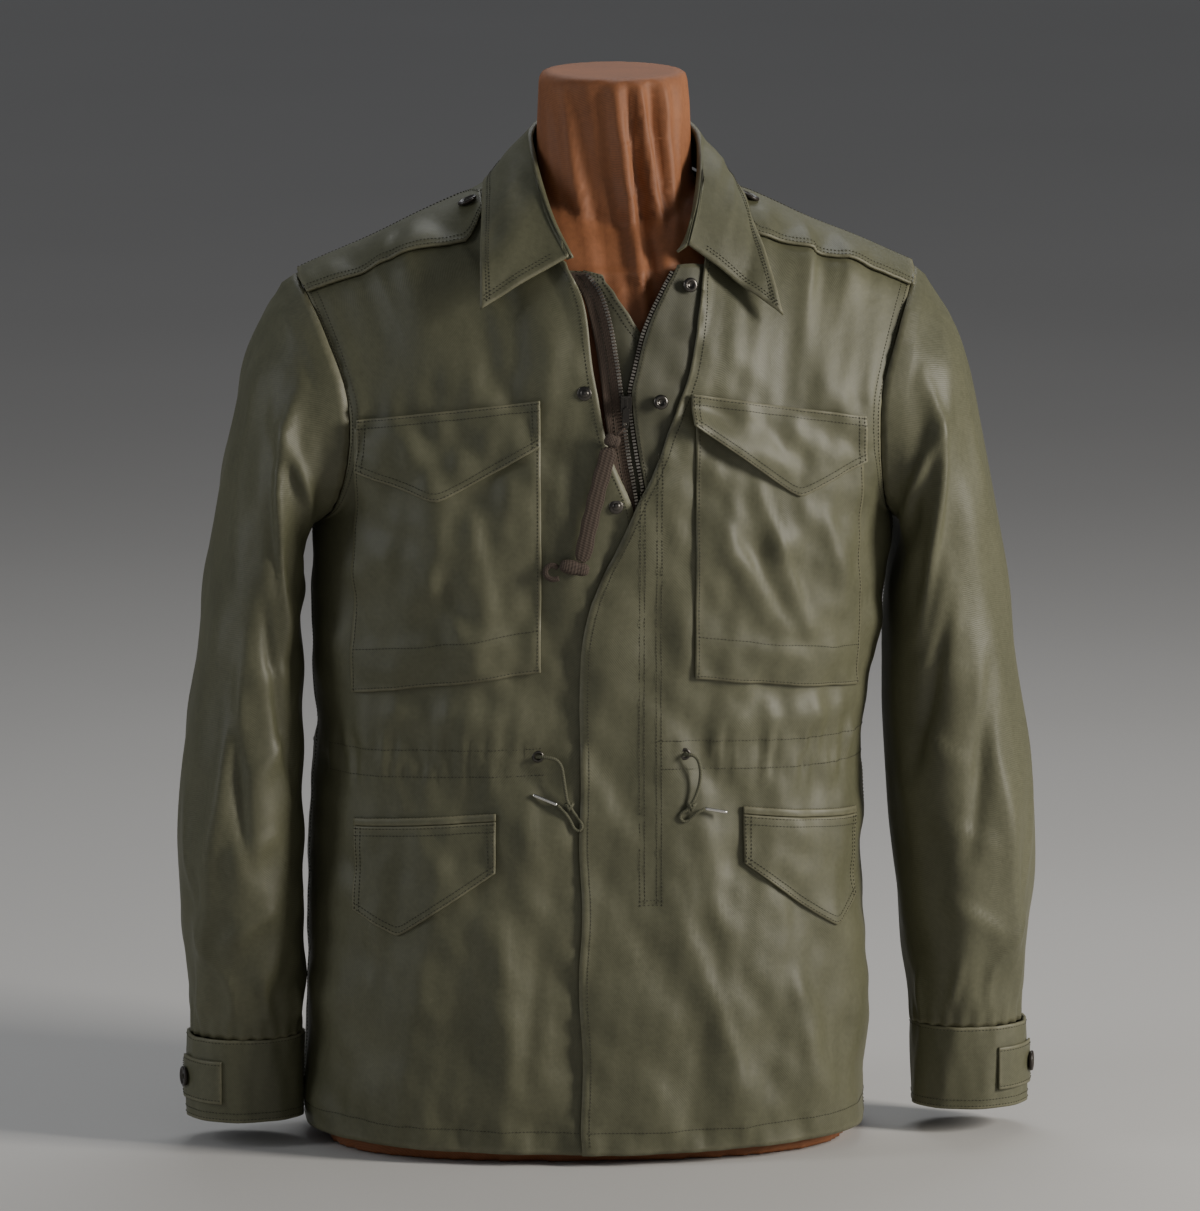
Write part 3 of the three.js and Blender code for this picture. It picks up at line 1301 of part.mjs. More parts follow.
addPiece('back', backPanel(13), 'sateen');
addPiece('front_left', frontPanel(1, FLY_EDGE, 14, flyRaise), 'sateen');
addPiece('front_right', frontPanel(-1, RIGHT_FRONT_EDGE, 13), 'sateen');
addPiece('sleeve_left', sleeve(1), 'sateen');
addPiece('sleeve_right', sleeve(-1), 'sateen');
addPiece('collar', collar(), 'sateen');
addPiece('dress_form', dressForm(), 'cover');
for (const [name, side] of [['left', 1], ['right', -1]]) {
  addPiece(`cuff_${name}`, cuff(side), 'sateen');
  addPiece(`cuff_tab_${name}`, cuffTab(side), 'sateen');
  addPiece(`shoulder_strap_${name}`, shoulderStrap(side), 'sateen');
  addPiece(`zip_tape_${name}`, zipTape(side), 'tape');
}
addPiece('zip_facing', zipFacing(), 'sateen');
addPiece('zip_guard', zipGuard(), 'sateen');
CHEST_POCKETS.forEach((pocket, index) => {
  addPiece(`chest_pocket_${pocket.name}`, chestPocket(pocket), 'sateen');
  const liftAt = (x, z) => chestLift(pocket, x, z) + PATCH_WALL + 1;
  addPiece(`chest_flap_${pocket.name}`, flap(CHEST_FLAPS[index], liftAt), 'sateen');
});
for (const shape of HIP_FLAPS) {
  addPiece(`hip_flap_${shape.name}`, flap(shape, () => PATCH_LIFT), 'sateen');
  addPiece(`hip_welt_${shape.name}`, hipWelt(shape), 'sateen');
}
addSnaps();
addButtons();
addZipPull();
addLace();
addDrawcords();

export default jacket;
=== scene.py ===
"""Field jacket of olive cotton sateen, worn on a limbless dress form.

Shapes are worked out in millimetres in the row frame and written to meshes in metres.
left and right are the wearer's, so left pieces lie at +X. The front faces -Y.
"""

import logging
import math
from collections.abc import Callable, Sequence
from dataclasses import dataclass, field
from enum import Enum
from typing import ClassVar

import bmesh
import bpy
import numpy as np
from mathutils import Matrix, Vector


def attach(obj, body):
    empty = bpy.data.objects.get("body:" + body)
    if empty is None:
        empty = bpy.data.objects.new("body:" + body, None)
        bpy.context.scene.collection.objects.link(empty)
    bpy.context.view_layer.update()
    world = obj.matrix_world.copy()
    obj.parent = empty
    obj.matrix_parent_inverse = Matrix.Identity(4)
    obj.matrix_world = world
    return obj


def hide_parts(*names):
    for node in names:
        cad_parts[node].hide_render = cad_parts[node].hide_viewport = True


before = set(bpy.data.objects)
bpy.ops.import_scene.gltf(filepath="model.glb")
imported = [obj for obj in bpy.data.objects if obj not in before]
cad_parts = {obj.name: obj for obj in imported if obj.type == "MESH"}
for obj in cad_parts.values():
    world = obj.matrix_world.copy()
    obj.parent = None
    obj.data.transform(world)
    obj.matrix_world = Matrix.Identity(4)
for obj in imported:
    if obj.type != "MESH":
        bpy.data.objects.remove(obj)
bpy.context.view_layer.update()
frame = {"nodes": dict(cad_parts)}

log = logging.getLogger("field_jacket")

Array = np.ndarray
Values = np.ndarray | float
Piece = bpy.types.Object
Rows = tuple[tuple[float, ...], ...]

MM = 0.001
ROOT = "jacket_on_form"
PULL = "zip_pull"

# Cloth and clearances in millimetres, and shares of the body's rows and stations
WALL = 1.6
CAD_WALL = 2.0
SEAM_GAP = 0.3
FLY_LIFT = 3.8
FLY_FLAT = 15.0
FLY_SLOPE = 30.0
ZIP_COVER_X = 40.0
FLY_FADE = (735.0, 700.0)
ROUNDNESS = 0.8
SEAM_SHARE = 0.9995
UNDERARM = 0.6
NECK_START = 0.9
NECK_MIDDLE_X = 4.0
NECK_POINT = (80.0, 5.0, 757.0)
NECK_FRONT = (-106.0, 699.0)
NECK_BACK = (88.0, 766.0)
STITCH_LIFT = 0.3
STITCH_STEP = 3.0
FOLD_STRENGTH = 1.5

# Steps of a search by halves, and of the easing of the panels' rows
HALVINGS = 18
EASING_PASSES = 60

ROUND_MAP = 0.01
LEAST_CUT = 0.01

# Waves to the metre in a band texture, for a pitch of one millimetre
BAND_SCALE = 314.16

# What the lights face, in metres
LIT_PLACE = (0, -0.05, 0.45)

# The wearer's sides, by the sign of x
SIDES = (("left", 1.0), ("right", -1.0))


class Face(Enum):
    """The two faces of the body surface."""

    FRONT = "front"
    BACK = "back"


class Edge(Enum):
    """The four edges of a grid of points."""

    FIRST_COLUMN = 0
    LAST_COLUMN = 1
    FIRST_ROW = 2
    LAST_ROW = 3


def mix(start: Values, end: Values, share: Values) -> Array:
    """The value at a share of the way from start to end."""
    return start + (end - start) * share


def smooth_step(low: float, high: float, value: Values) -> Array:
    """Rises smoothly from 0 at low to 1 at high, and falls where low is above high."""
    share = np.clip((np.asarray(value, float) - low) / (high - low), 0, 1)
    return share * share * (3 - 2 * share)


def placing(x: Values, y: Values, z: Values) -> Array:
    """Points from their three coordinates."""
    return np.stack(np.broadcast_arrays(x, y, z), -1).astype(float)


def unit(vectors: Array) -> Array:
    """The vectors at length 1."""
    return vectors / np.maximum(np.linalg.norm(vectors, axis=-1, keepdims=True), 1e-9)


def rows_of(text: str) -> list[list[float]]:
    """Rows of numbers from a text that has ; between the rows."""
    return [[float(value) for value in row.split()] for row in text.split(";")]


class Table:
    """Rows of sizes, read on a smooth curve through them. The first column is the key."""

    def __init__(self, text: str) -> None:
        """Takes the columns' names from the first line and the rows from what follows."""
        names, rows = text.strip().split("\n", 1)
        values = np.array(rows_of(rows))
        self.columns = dict(zip(names.split(), values.T))
        self.key = values[:, 0]

    def read(self, place: Values, column: str) -> Array:
        """Reads a column between its rows.

        Args:
            place: where to read, in the key's measure.
            column: the column's name.

        Returns:
            The values, in the shape of place.
        """
        place = np.asarray(place, float)
        value = self.columns[column]
        last = len(value) - 1
        row = np.clip(np.searchsorted(self.key, place) - 1, 0, last - 1)
        before, after = np.maximum(row - 1, 0), np.minimum(row + 2, last)
        span = self.key[row + 1] - self.key[row]
        share = np.clip((place - self.key[row]) / span, 0, 1)
        here = (value[row + 1] - value[before]) / (self.key[row + 1] - self.key[before]) * span
        there = (value[after] - value[row]) / (self.key[after] - self.key[row]) * span
        square, cube = share**2, share**3
        return ((2 * cube - 3 * square + 1) * value[row] + (cube - 2 * square + share) * here
                + (3 * square - 2 * cube) * value[row + 1] + (cube - square) * there)


BODY_SECTIONS = Table("""
    station front_y front_z back_y back_z side_x side_z lean straight
    0 -140 8 132 12 222 14 -17 0; 0.1 -138 94 131 95 220 92 -17 0; 0.2 -135 179 128 178 219 170 -16 0;
    0.3 -131 262 122 260 218 250 -15 0; 0.4 -127 340 114 340 216 330 -14 0; 0.5 -131 424 118 426 222 410 -8 0;
    0.6 -136 507 126 512 228 490 -3 0.05; 0.7 -136 576 129 590 228 534 -1 0.35;
    0.8 -127 642 124 672 228 580 0 0.62; 0.9 -106 699 88 766 228 630 0 0.88; 1 -60 740 60 770 228 686 0 1""")
ARMHOLE_SECTIONS = Table("""
    station front_x front_y back_x back_y height
    0.6 228 0 228 0 490; 0.68 216 -58 219 60 510; 0.76 208 -84 213 90 553; 0.84 209 -86 214 95 602;
    0.92 224 -63 227 70 648; 0.96 235 -34 236 40 673; 1 243 5 243 5 686""")
FLY_EDGE = Table("""
    height x
    0 -31; 400 -31; 432 -26; 461 -16; 485 -5; 524 12; 553 27; 597 44; 621 52; 661 61; 683 66; 730 76""")
RIGHT_FRONT_EDGE = Table("""
    height x
    0 12; 480 12; 520 8; 560 -7; 585 -15; 612 -19; 643 -22; 665 -25; 685 -30; 704 -39""")
ZIP_CHAINS = Table("""
    height right left
    200 18 22; 480 18 22; 520 14 18; 560 7 11; 608 1.5 5.5; 625 -0.5 9; 643 -3 14; 665 -7 22; 685 -13 33;
    698 -22 41; 707 -31 46""")
GUARD_EDGE = Table("""
    height x
    500 40; 640 27; 660 15; 690 -6; 704 -19""")


@dataclass(frozen=True)
class Fold:
    """A soft ridge, or a trough where height is negative, along a straight line on a panel.

    skew makes one flank steeper than the other: 0 is even, and near 1 is a sharp crease.
    """

    from_x: float
    from_z: float
    to_x: float
    to_z: float
    width: float
    height: float
    skew: float = 0.0

    def rise(self, x: Array, z: Array) -> Array:
        """How far the fold lifts the cloth at places across and up, in millimetres."""
        run_x, run_z = self.to_x - self.from_x, self.to_z - self.from_z
        length = math.hypot(run_x, run_z)
        along = ((x - self.from_x) * run_x + (z - self.from_z) * run_z) / length**2
        nearest = np.clip(along, 0, 1)
        off_x, off_z = x - self.from_x - run_x * nearest, z - self.from_z - run_z * nearest
        flank = (off_x * run_z - off_z * run_x) / length / self.width
        width = self.width * (1 + self.skew * np.tanh(flank * 2))
        fade = np.sin(np.pi * np.clip(along * 0.9 + 0.05, 0, 1)) ** 0.7
        return self.height * fade * np.exp(-((np.hypot(off_x, off_z) / width) ** 2))


def folds(text: str) -> list[Fold]:
    """Folds from rows of numbers, in the order of Fold's fields."""
    return [Fold(*row) for row in rows_of(text)]


@dataclass(frozen=True)
class Pucker:
    """Small waves that a row of stitches draws up along its line."""

    line: tuple[tuple[float, float], ...]
    height: float
    length: float
    width: float
    seed: int = 1

    def rise(self, x: Array, z: Array) -> Array:
        """How far the waves lift the cloth at places across and up, in millimetres."""
        nearest = np.full(np.shape(x), 1e9)
        along = np.zeros(np.shape(x))
        run = 0.0
        for (x0, z0), (x1, z1) in zip(self.line, self.line[1:]):
            length = math.hypot(x1 - x0, z1 - z0)
            share = np.clip(((x - x0) * (x1 - x0) + (z - z0) * (z1 - z0)) / length**2, 0, 1)
            gap = np.hypot(x - x0 - (x1 - x0) * share, z - z0 - (z1 - z0) * share)
            closer = gap < nearest
            nearest = np.where(closer, gap, nearest)
            along = np.where(closer, run + share * length, along)
            run += length
        wave = np.zeros(np.shape(x))
        for part in range(3):
            turn = 2 * np.pi * along / (self.length * (1, 1.63, 0.71)[part]) + self.seed * (part + 1) * 1.9
            wave += (0.5, 0.3, 0.3)[part] * np.sin(turn)
        return self.height * wave * np.exp(-((nearest / self.width) ** 2))


class Lumps:
    """Soft uneven swelling of cloth that isn't pulled flat, the same on every run."""

    def __init__(self, seed: int, length: float, height: float, waves: int = 9) -> None:
        """Draws the directions and starts of the waves.

        Args:
            seed: seed of the draws.
            length: mean length of a wave in millimetres.
            height: height of the swelling in millimetres.
            waves: how many waves are laid over each other.
        """
        draw = np.random.default_rng(seed)
        turn = draw.uniform(0, np.pi, waves)
        rate = 2 * np.pi / (length * draw.uniform(0.6, 1.7, waves))
        self.rate_x, self.rate_z = rate * np.cos(turn), rate * np.sin(turn)
        self.start = draw.uniform(0, 2 * np.pi, waves)
        self.share = height * 1.4 / math.sqrt(waves)

    def rise(self, x: Array, z: Array) -> Array:
        """How far the swelling lifts the cloth at a place."""
        turns = np.multiply.outer(x, self.rate_x) + np.multiply.outer(z, self.rate_z) + self.start
        return self.share * np.sin(turns).sum(axis=-1)


@dataclass(frozen=True)
class Relief:
    """All that lifts one panel from its plain surface."""

    parts: tuple[Fold | Pucker | Lumps, ...]

    def rise(self, x: Array, z: Array) -> Array:
        """The sum of the parts at a place, in millimetres."""
        return sum(part.rise(x, z) for part in self.parts)


FRONT_RELIEF = Relief((*folds("""
    -138 722 -198 655 13 5 0.4; -122 716 -172 628 12 4; -130 700 -186 640 10 -3; 146 716 158 655 13 4;
    172 704 205 632 13 5 -0.4; 160 690 184 630 10 -3; 110 230 165 20 22 5 0.3; 60 215 95 20 22 4;
    -70 290 -100 20 24 6 0.3; -140 230 -165 20 24 5; 70 345 190 352 12 3; -75 350 -200 352 12 3;
    34 226 108 31 9 2.2 0.5; 62 246 92 128 8 1.8 -0.5; -18 300 22 226 9 1.8 0.5; -14 218 34 92 10 1.8 0.4;
    134 150 158 36 9 1.9 -0.4; 2 412 44 372 8 1.8 0.4; -12 386 30 352 7 1.5; -10 452 26 420 8 1.6 -0.4;
    40 470 52 392 7 1.4; 78 372 96 346 6 1.6; 112 366 124 344 6 1.8; 150 364 158 342 6 1.8; 176 362 180 342 6 1.6;
    92 312 104 288 6 1.4; 132 316 140 292 6 1.6; 166 314 170 290 6 1.5; -92 366 -98 342 6 1.4;
    -130 366 -138 342 6 1.6; -168 364 -176 342 6 1.5; -96 312 -104 286 6 1.4; -146 314 -156 290 6 1.5;
    -96 226 -84 60 11 2.4 0.5; -58 180 -62 40 9 1.8 -0.4; -186 250 -190 120 12 2.4; -70 668 -44 612 12 2.2 0.3;
    -96 690 -84 626 12 2; -52 560 -34 470 9 1.6 0.4; 76 690 120 624 12 1.8 0.4; 196 610 214 560 9 2.2;
    -198 612 -214 560 9 2.2; 204 470 210 380 10 1.8; -212 470 -216 380 10 1.8; 190 190 200 60 12 2.6 0.4;
    150 742 160 648 7 2.6 0.6; 178 728 190 650 7 2.2 -0.5; 112 716 124 640 10 1.8 0.5;
    -110 726 -150 650 8 2.2 0.5; -160 730 -196 670 8 2.4 0.5; 84 664 96 612 9 1.6; 64 300 76 222 8 1.8 0.4;
    -30 330 -52 240 9 2 0.4; -76 300 -66 232 8 1.8; 36 520 48 478 7 1.4; 20 150 60 60 10 2 0.5;
    -30 230 -44 120 9 1.6"""),
    Pucker(((-31, 10), (-31, 400), (-26, 432), (-5, 485), (27, 553), (61, 661)), 0.9, 23, 11, 2),
    Pucker(((23, 208), (23, 540)), 0.55, 15, 12, 5),
    Pucker(((42, 332), (205, 326)), 1.5, 14, 10, 3),
    Pucker(((42, 314), (205, 308)), 1.3, 12, 9, 4),
    Pucker(((-62, 330), (-225, 326)), 1.5, 14, 10, 6),
    Pucker(((-62, 312), (-225, 308)), 1.3, 12, 9, 7),
    Pucker(((-225, 30), (-120, 24), (0, 20), (120, 24), (205, 30)), 0.8, 19, 12, 8),
    Pucker(((202, 686), (196, 600), (204, 540)), 0.5, 13, 8, 9),
    Pucker(((-202, 686), (-196, 600), (-204, 540)), 0.5, 13, 8, 10),
    Lumps(11, 70, 1.0),
    Lumps(12, 32, 0.4)))
BACK_RELIEF = Relief((*folds("""
    60 280 95 20 26 6 0.3; -40 290 -55 20 26 5; -120 250 -160 20 26 6 -0.3; 150 250 175 30 22 4;
    80 600 170 510 20 4; -80 600 -170 510 20 4; -170 350 150 350 14 3; -150 560 -196 440 12 2.4 0.4;
    150 560 196 440 12 2.4 -0.4; -60 440 -20 360 10 1.8 0.4; 70 450 40 364 10 2 0.4; -130 420 -110 352 9 1.8;
    130 420 118 352 9 1.8; -96 312 -88 240 10 2; 10 312 20 220 10 2; 110 312 118 236 10 2;
    -150 700 -190 640 12 3 0.3; 150 700 190 640 12 3 0.3; -40 740 -90 690 14 1.6; 50 740 96 690 14 1.6"""),
    Pucker(((-225, 332), (205, 332)), 1.5, 14, 10, 3),
    Pucker(((-225, 312), (205, 312)), 1.3, 12, 9, 4),
    Pucker(((-225, 30), (0, 24), (205, 30)), 0.8, 19, 12, 8),
    Lumps(21, 75, 1.0),
    Lumps(22, 32, 0.3)))


class BodySurface:
    """The body's plain surface, by rows from the centre line to the side seam or armhole."""

    STEP = 0.01

    def row_start(self, face: Face, side: Array, station: Array) -> Array:
        """Where a row starts: the centre line, or the neckline above it."""
        start_y, start_z = NECK_FRONT if face is Face.FRONT else NECK_BACK
        turn = np.clip((station - NECK_START) / (1 - NECK_START), 0, 1) * np.pi / 2
        across = np.sin(turn)
        level = np.maximum(np.cos(turn), 0) ** ROUNDNESS
        neck = placing(NECK_MIDDLE_X + (side * NECK_POINT[0] - NECK_MIDDLE_X) * across,
                       mix(NECK_POINT[1], start_y, level), mix(start_z, NECK_POINT[2], across**3))
        centre = placing(NECK_MIDDLE_X, *(BODY_SECTIONS.read(station, f"{face.value}_{axis}") for axis in "yz"))
        return np.where((station <= NECK_START)[..., None], centre, neck)

    def row_end(self, face: Face, side: Array, station: Array) -> Array:
        """Where a row ends: the side seam, or the armhole above it."""
        seam = placing(side * BODY_SECTIONS.read(station, "side_x") + BODY_SECTIONS.read(station, "lean"), 0,
                       BODY_SECTIONS.read(station, "side_z"))
        lean = float(BODY_SECTIONS.read(UNDERARM, "lean")) * (1 - smooth_step(UNDERARM, 0.8, station))
        armhole = placing(side * ARMHOLE_SECTIONS.read(station, f"{face.value}_x") + lean,
                          ARMHOLE_SECTIONS.read(station, f"{face.value}_y"), ARMHOLE_SECTIONS.read(station, "height"))
        return np.where((station <= UNDERARM)[..., None], seam, armhole)

    def base(self, face: Face, side: Array, across: Array, station: Array) -> Array:
        """Points of the plain surface.

        Args:
            face: front or back.
            side: 1 for the wearer's left, -1 for the right.
            across: share of the row, from 0 at its start to 1 at its end.
            station: the row, from 0 at the hem to 1 at the shoulder seam.

        Returns:
            The points in millimetres, with the coordinates last.
        """
        side, across, station = np.broadcast_arrays(side, np.asarray(across, float), station)
        start, end = self.row_start(face, side, station), self.row_end(face, side, station)
        straight = BODY_SECTIONS.read(station, "straight")
        turn = across * np.pi / 2
        share_x = mix(np.sin(turn) ** ROUNDNESS, across, straight)
        share_y = mix(np.maximum(np.cos(turn), 0) ** ROUNDNESS, 1 - across, straight)
        return placing(mix(start[..., 0], end[..., 0], share_x), mix(end[..., 1], start[..., 1], share_y),
                       mix(start[..., 2], end[..., 2], across))

    def normal(self, face: Face, side: Array, across: Array, station: Array) -> Array:
        """Outward directions, turned level towards the side seam and the shoulder seam."""
        side, across, station = np.broadcast_arrays(side, np.asarray(across, float), np.asarray(station, float))
        below = station <= NECK_START
        low = np.maximum(station - self.STEP, np.where(below, 0, NECK_START))
        high = np.minimum(station + self.STEP, np.where(below, NECK_START, 1))
        along_row = (self.base(face, side, np.minimum(across + self.STEP, 1), station)
                     - self.base(face, side, np.maximum(across - self.STEP, 0.002), station))
        along_column = self.base(face, side, across, high) - self.base(face, side, across, low)
        normal = unit(np.cross(along_row, along_column))
        normal = normal * (side if face is Face.FRONT else -side)[..., None]
        level = smooth_step(1 - 3 * self.STEP, 1 - self.STEP, station)
        middle = smooth_step(3 * self.STEP, self.STEP, across) * below
        normal = placing(normal[..., 0] * (1 - middle), normal[..., 1] * (1 - level), normal[..., 2])
        seam = (smooth_step(1 - 3 * self.STEP, 1 - self.STEP, across) * (station <= UNDERARM))[..., None]
        outward = placing(side * 1.0, 0, 0)
        return unit(mix(unit(normal), outward, seam))

    def point(self, face: Face, side: Array, across: Array, station: Array,
              lift: Values) -> Array:
        """Points of the cloth's outer face with its folds, moved out by lift."""
        plain = self.base(face, side, across, station)
        front, back = (relief.rise(plain[..., 0], plain[..., 2]) for relief in (FRONT_RELIEF, BACK_RELIEF))
        own, other = (front, back) if face is Face.FRONT else (back, front)
        shared = mix(own, other, smooth_step(0.9, 1.0, across) / 2)
        fade = np.where(station > UNDERARM, smooth_step(1, 0.93, across), 1.0) * smooth_step(1, 0.97, station)
        height = shared * fade * FOLD_STRENGTH + lift
        return plain + self.normal(face, side, across, station) * np.asarray(height)[..., None]

    def across_at(self, face: Face, side: Array, station: Array, x: Array) -> Array:
        """The share of a row at which it reaches a given x."""
        low, high = np.zeros(np.shape(station)), np.ones(np.shape(station))
        for _ in range(HALVINGS):
            middle = (low + high) / 2
            short = self.base(face, side, middle, station)[..., 0] * side < x * side
            low, high = np.where(short, middle, low), np.where(short, high, middle)
        return (low + high) / 2

    def front_point(self, x: Array, z: Array, lift: Values) -> Array:
        """Points of the front at given places across and up, moved out by lift."""
        x, z = np.broadcast_arrays(np.asarray(x, float), np.asarray(z, float))
        side = np.where(x >= NECK_MIDDLE_X, 1.0, -1.0)
        station = np.clip(z / 800, 0, 1)
        across = np.zeros(np.shape(x))
        for _ in range(HALVINGS):
            across = self.across_at(Face.FRONT, side, station, x)
            error = z - self.base(Face.FRONT, side, across, station)[..., 2]
            station = np.clip(station + error / 900, 0, 1)
        return self.point(Face.FRONT, side, across, station, lift)


SURFACE = BodySurface()


def fly_raise(x: Array, z: Array) -> Array:
    """How far the left front stands off the zip and the right front that it covers."""
    flat = np.maximum(FLY_EDGE.read(z, "x") + FLY_FLAT, ZIP_COVER_X)
    share = np.clip((x - flat) / FLY_SLOPE, 0, 1)
    return FLY_LIFT * (1 - share * share * (3 - 2 * share)) * smooth_step(*FLY_FADE, z)


def panel_raise(x: Array, z: Array) -> Array:
    """How far the front that carries a patch stands above the body surface."""
    return np.where(np.asarray(x) > NECK_MIDDLE_X, fly_raise(x, z), 0.0)


class Grid:
    """A grid of points on the outer face of a piece of cloth, in millimetres."""

    def __init__(self, points: Array, ring: bool = False) -> None:
        """Keeps the points.

        Args:
            points: rows by columns by 3.
            ring: True where the last column joins the first.
        """
        self.points = points
        self.ring = ring
        rows = np.gradient(points, axis=0)
        if ring:
            columns = np.roll(points, -1, axis=1) - np.roll(points, 1, axis=1)
        else:
            columns = np.gradient(points, axis=1)
        self.normals = unit(np.cross(columns, rows))

    def facing(self, away: Sequence[float]) -> "Grid":
        """Turns the normals away from a point inside, and gives the grid back."""
        out = (self.points - np.array(away)) * self.normals
        if out.sum() < 0:
            self.normals = -self.normals
        return self

    def moved(self, lift: Values) -> Array:
        """The points moved out by lift."""
        return self.points + self.normals * np.broadcast_to(np.asarray(lift, float), self.points.shape[:2])[..., None]

    def lengths(self) -> tuple[Array, Array]:
        """How far each point lies along its row and along its column."""
        across = np.linalg.norm(np.diff(self.points, axis=1), axis=-1)
        along = np.linalg.norm(np.diff(self.points, axis=0), axis=-1)
        return (np.pad(np.cumsum(across, axis=1), ((0, 0), (1, 0))),
                np.pad(np.cumsum(along, axis=0), ((1, 0), (0, 0))))

    def size(self) -> tuple[float, float, float]:
        """Mean width, mean length and area of the cloth laid flat, in metres and square metres."""
        points = np.concatenate([self.points, self.points[:, :1]], axis=1) if self.ring else self.points
        first = points[1:, 1:] - points[:-1, :-1]
        second = points[1:, :-1] - points[:-1, 1:]
        area = 0.5 * np.linalg.norm(np.cross(first, second), axis=-1).sum() * MM * MM
        width = np.linalg.norm(np.diff(points, axis=1), axis=-1).sum(axis=1).max() * MM
        length = np.linalg.norm(np.diff(points, axis=0), axis=-1).sum(axis=0).max() * MM
        return float(width), float(length), float(area)

    def edge_distance(self) -> Array:
        """Distance of each point from the nearest free edge of the grid."""
        across, along = self.lengths()
        parts = [along, along[-1:] - along]
        if not self.ring:
            parts += [across, across[:, -1:] - across]
        return np.minimum.reduce(parts)

    def seam(self, edge: Edge, inset: float, trim: tuple[float, float] = (0.0, 0.0),
             lift: float = STITCH_LIFT) -> Array:
        """A line that runs beside an edge of the grid.

        Args:
            edge: the edge that it follows.
            inset: distance from the edge in millimetres.
            trim: length left out at its start and its end in millimetres.
            lift: how far above the cloth it lies.

        Returns:
            The points of the line, a stitch step apart.
        """
        points, across_lengths = self.moved(lift), self.lengths()
        if edge in (Edge.FIRST_COLUMN, Edge.LAST_COLUMN):
            lines, run = points, across_lengths[0]
        else:
            lines, run = points.transpose(1, 0, 2), across_lengths[1].T
        if edge in (Edge.LAST_COLUMN, Edge.LAST_ROW):
            lines, run = lines[:, ::-1], run[:, -1:] - run[:, ::-1]
        line = np.array([[np.interp(inset, reach, row[:, axis]) for axis in range(3)]
                         for row, reach in zip(lines, run)])
        if self.ring:
            line = np.concatenate([line, line[:1]])
        return even_line(line, STITCH_STEP, trim)


def lengths_along(line: Array) -> Array:
    """How far each point of a line lies from its start."""
    return np.concatenate([[0], np.cumsum(np.linalg.norm(np.diff(line, axis=0), axis=1))])


def even_line(line: Array, step: float, trim: tuple[float, float] = (0.0, 0.0)) -> Array:
    """A line with its points set at even steps, cut shorter at its ends."""
    run = lengths_along(line)
    stop = run[-1] - trim[1]
    places = np.linspace(trim[0], stop, max(2, int((stop - trim[0]) / step) + 1))
    return np.stack([np.interp(places, run, line[:, axis]) for axis in range(3)], -1)


def smooth_line(points: Sequence[Sequence[float]], steps: int) -> Array:
    """A smooth curve through points, with steps to each stretch."""
    line = np.array(points, float)
    padded = np.concatenate([2 * line[:1] - line[1:2], line, 2 * line[-1:] - line[-2:-1]])
    share = np.linspace(0, 1, steps, endpoint=False)[:, None]
    pieces = []
    for before, start, end, after in zip(padded, padded[1:], padded[2:], padded[3:]):
        bend = (2 * before - 5 * start + 4 * end - after) * share**2
        pieces.append(0.5 * (2 * start + (end - before) * share + bend
                             + (3 * start - before - 3 * end + after) * share**3))
    return np.concatenate([*pieces, line[-1:]])


def graded(count: int, length: float, near: float, step: float, ends: tuple[bool, bool] = (True, True)) -> Array:
    """Shares from 0 to 1 that lie closer together near the ends.

    Args:
        count: how many steps lie between the close ones.
        length: what the whole range measures in millimetres.
        near: how far from an end the close steps go.
        step: the close step.
        ends: whether the start and the end have them.

    Returns:
        The shares in rising order.
    """
    close = np.arange(0, near, step) / length
    low = near / length if ends[0] else 0.0
    high = 1 - near / length if ends[1] else 1.0
    middle = np.linspace(low, high, count)
    parts = [close] if ends[0] else []
    parts.append(middle)
    if ends[1]:
        parts.append(1 - close[::-1])
    return np.unique(np.round(np.concatenate(parts), 6))


def placed(name: str, data: bpy.types.ID) -> Piece:
    """An object with this data, linked to the scene."""
    made = bpy.data.objects.new(name, data)
    bpy.context.scene.collection.objects.link(made)
    return made


def ring_faces(rings: int, count: int, first: int = 0) -> list[tuple[int, ...]]:
    """The squares between rings of count points, numbered from first."""
    return [(low + index, low + (index + 1) % count, low + count + (index + 1) % count, low + count + index)
            for low in range(first, first + (rings - 1) * count, count) for index in range(count)]


def capped_faces(rings: int, count: int) -> list[tuple[int, ...]]:
    """The squares between rings of count points, and a cap at each end."""
    last = (rings - 1) * count
    return [*ring_faces(rings, count), tuple(reversed(range(count))), tuple(range(last, last + count))]


def map_points(piece: Piece, across: Array, along: Array) -> None:
    """Gives a piece its UV map in metres, from two measures of each of its points."""
    mesh = piece.data
    corner = np.zeros(len(mesh.loops), np.int32)
    mesh.loops.foreach_get("vertex_index", corner)
    layer = mesh.uv_layers.new(name="UVMap")
    layer.data.foreach_set("uv", np.stack([across[corner], along[corner]], -1).ravel().astype(np.float32))


def plain_mesh(name: str, points: Array, faces: Sequence[Sequence[int]],
               smooth: bool = True) -> Piece:
    """A mesh object from points in millimetres, with its faces turned outward.

    Args:
        name: the piece's name.
        points: its points.
        faces: its faces, all turned the same way round.
        smooth: whether it is shaded smooth.

    Returns:
        The object, linked to the scene.
    """
    points = np.asarray(points, float) * MM
    total = 0.0
    for face in faces:
        corner = points[face[0]]
        for second, third in zip(face[1:], face[2:]):
            total += float(np.dot(corner, np.cross(points[second], points[third])))
    if total < 0:
        faces = [tuple(reversed(face)) for face in faces]
    mesh = bpy.data.meshes.new(name)
    mesh.from_pydata(points.tolist(), [], [tuple(face) for face in faces])
    mesh.validate()
    mesh.update()
    mesh.polygons.foreach_set("use_smooth", [smooth] * len(mesh.polygons))
    return placed(name, mesh)


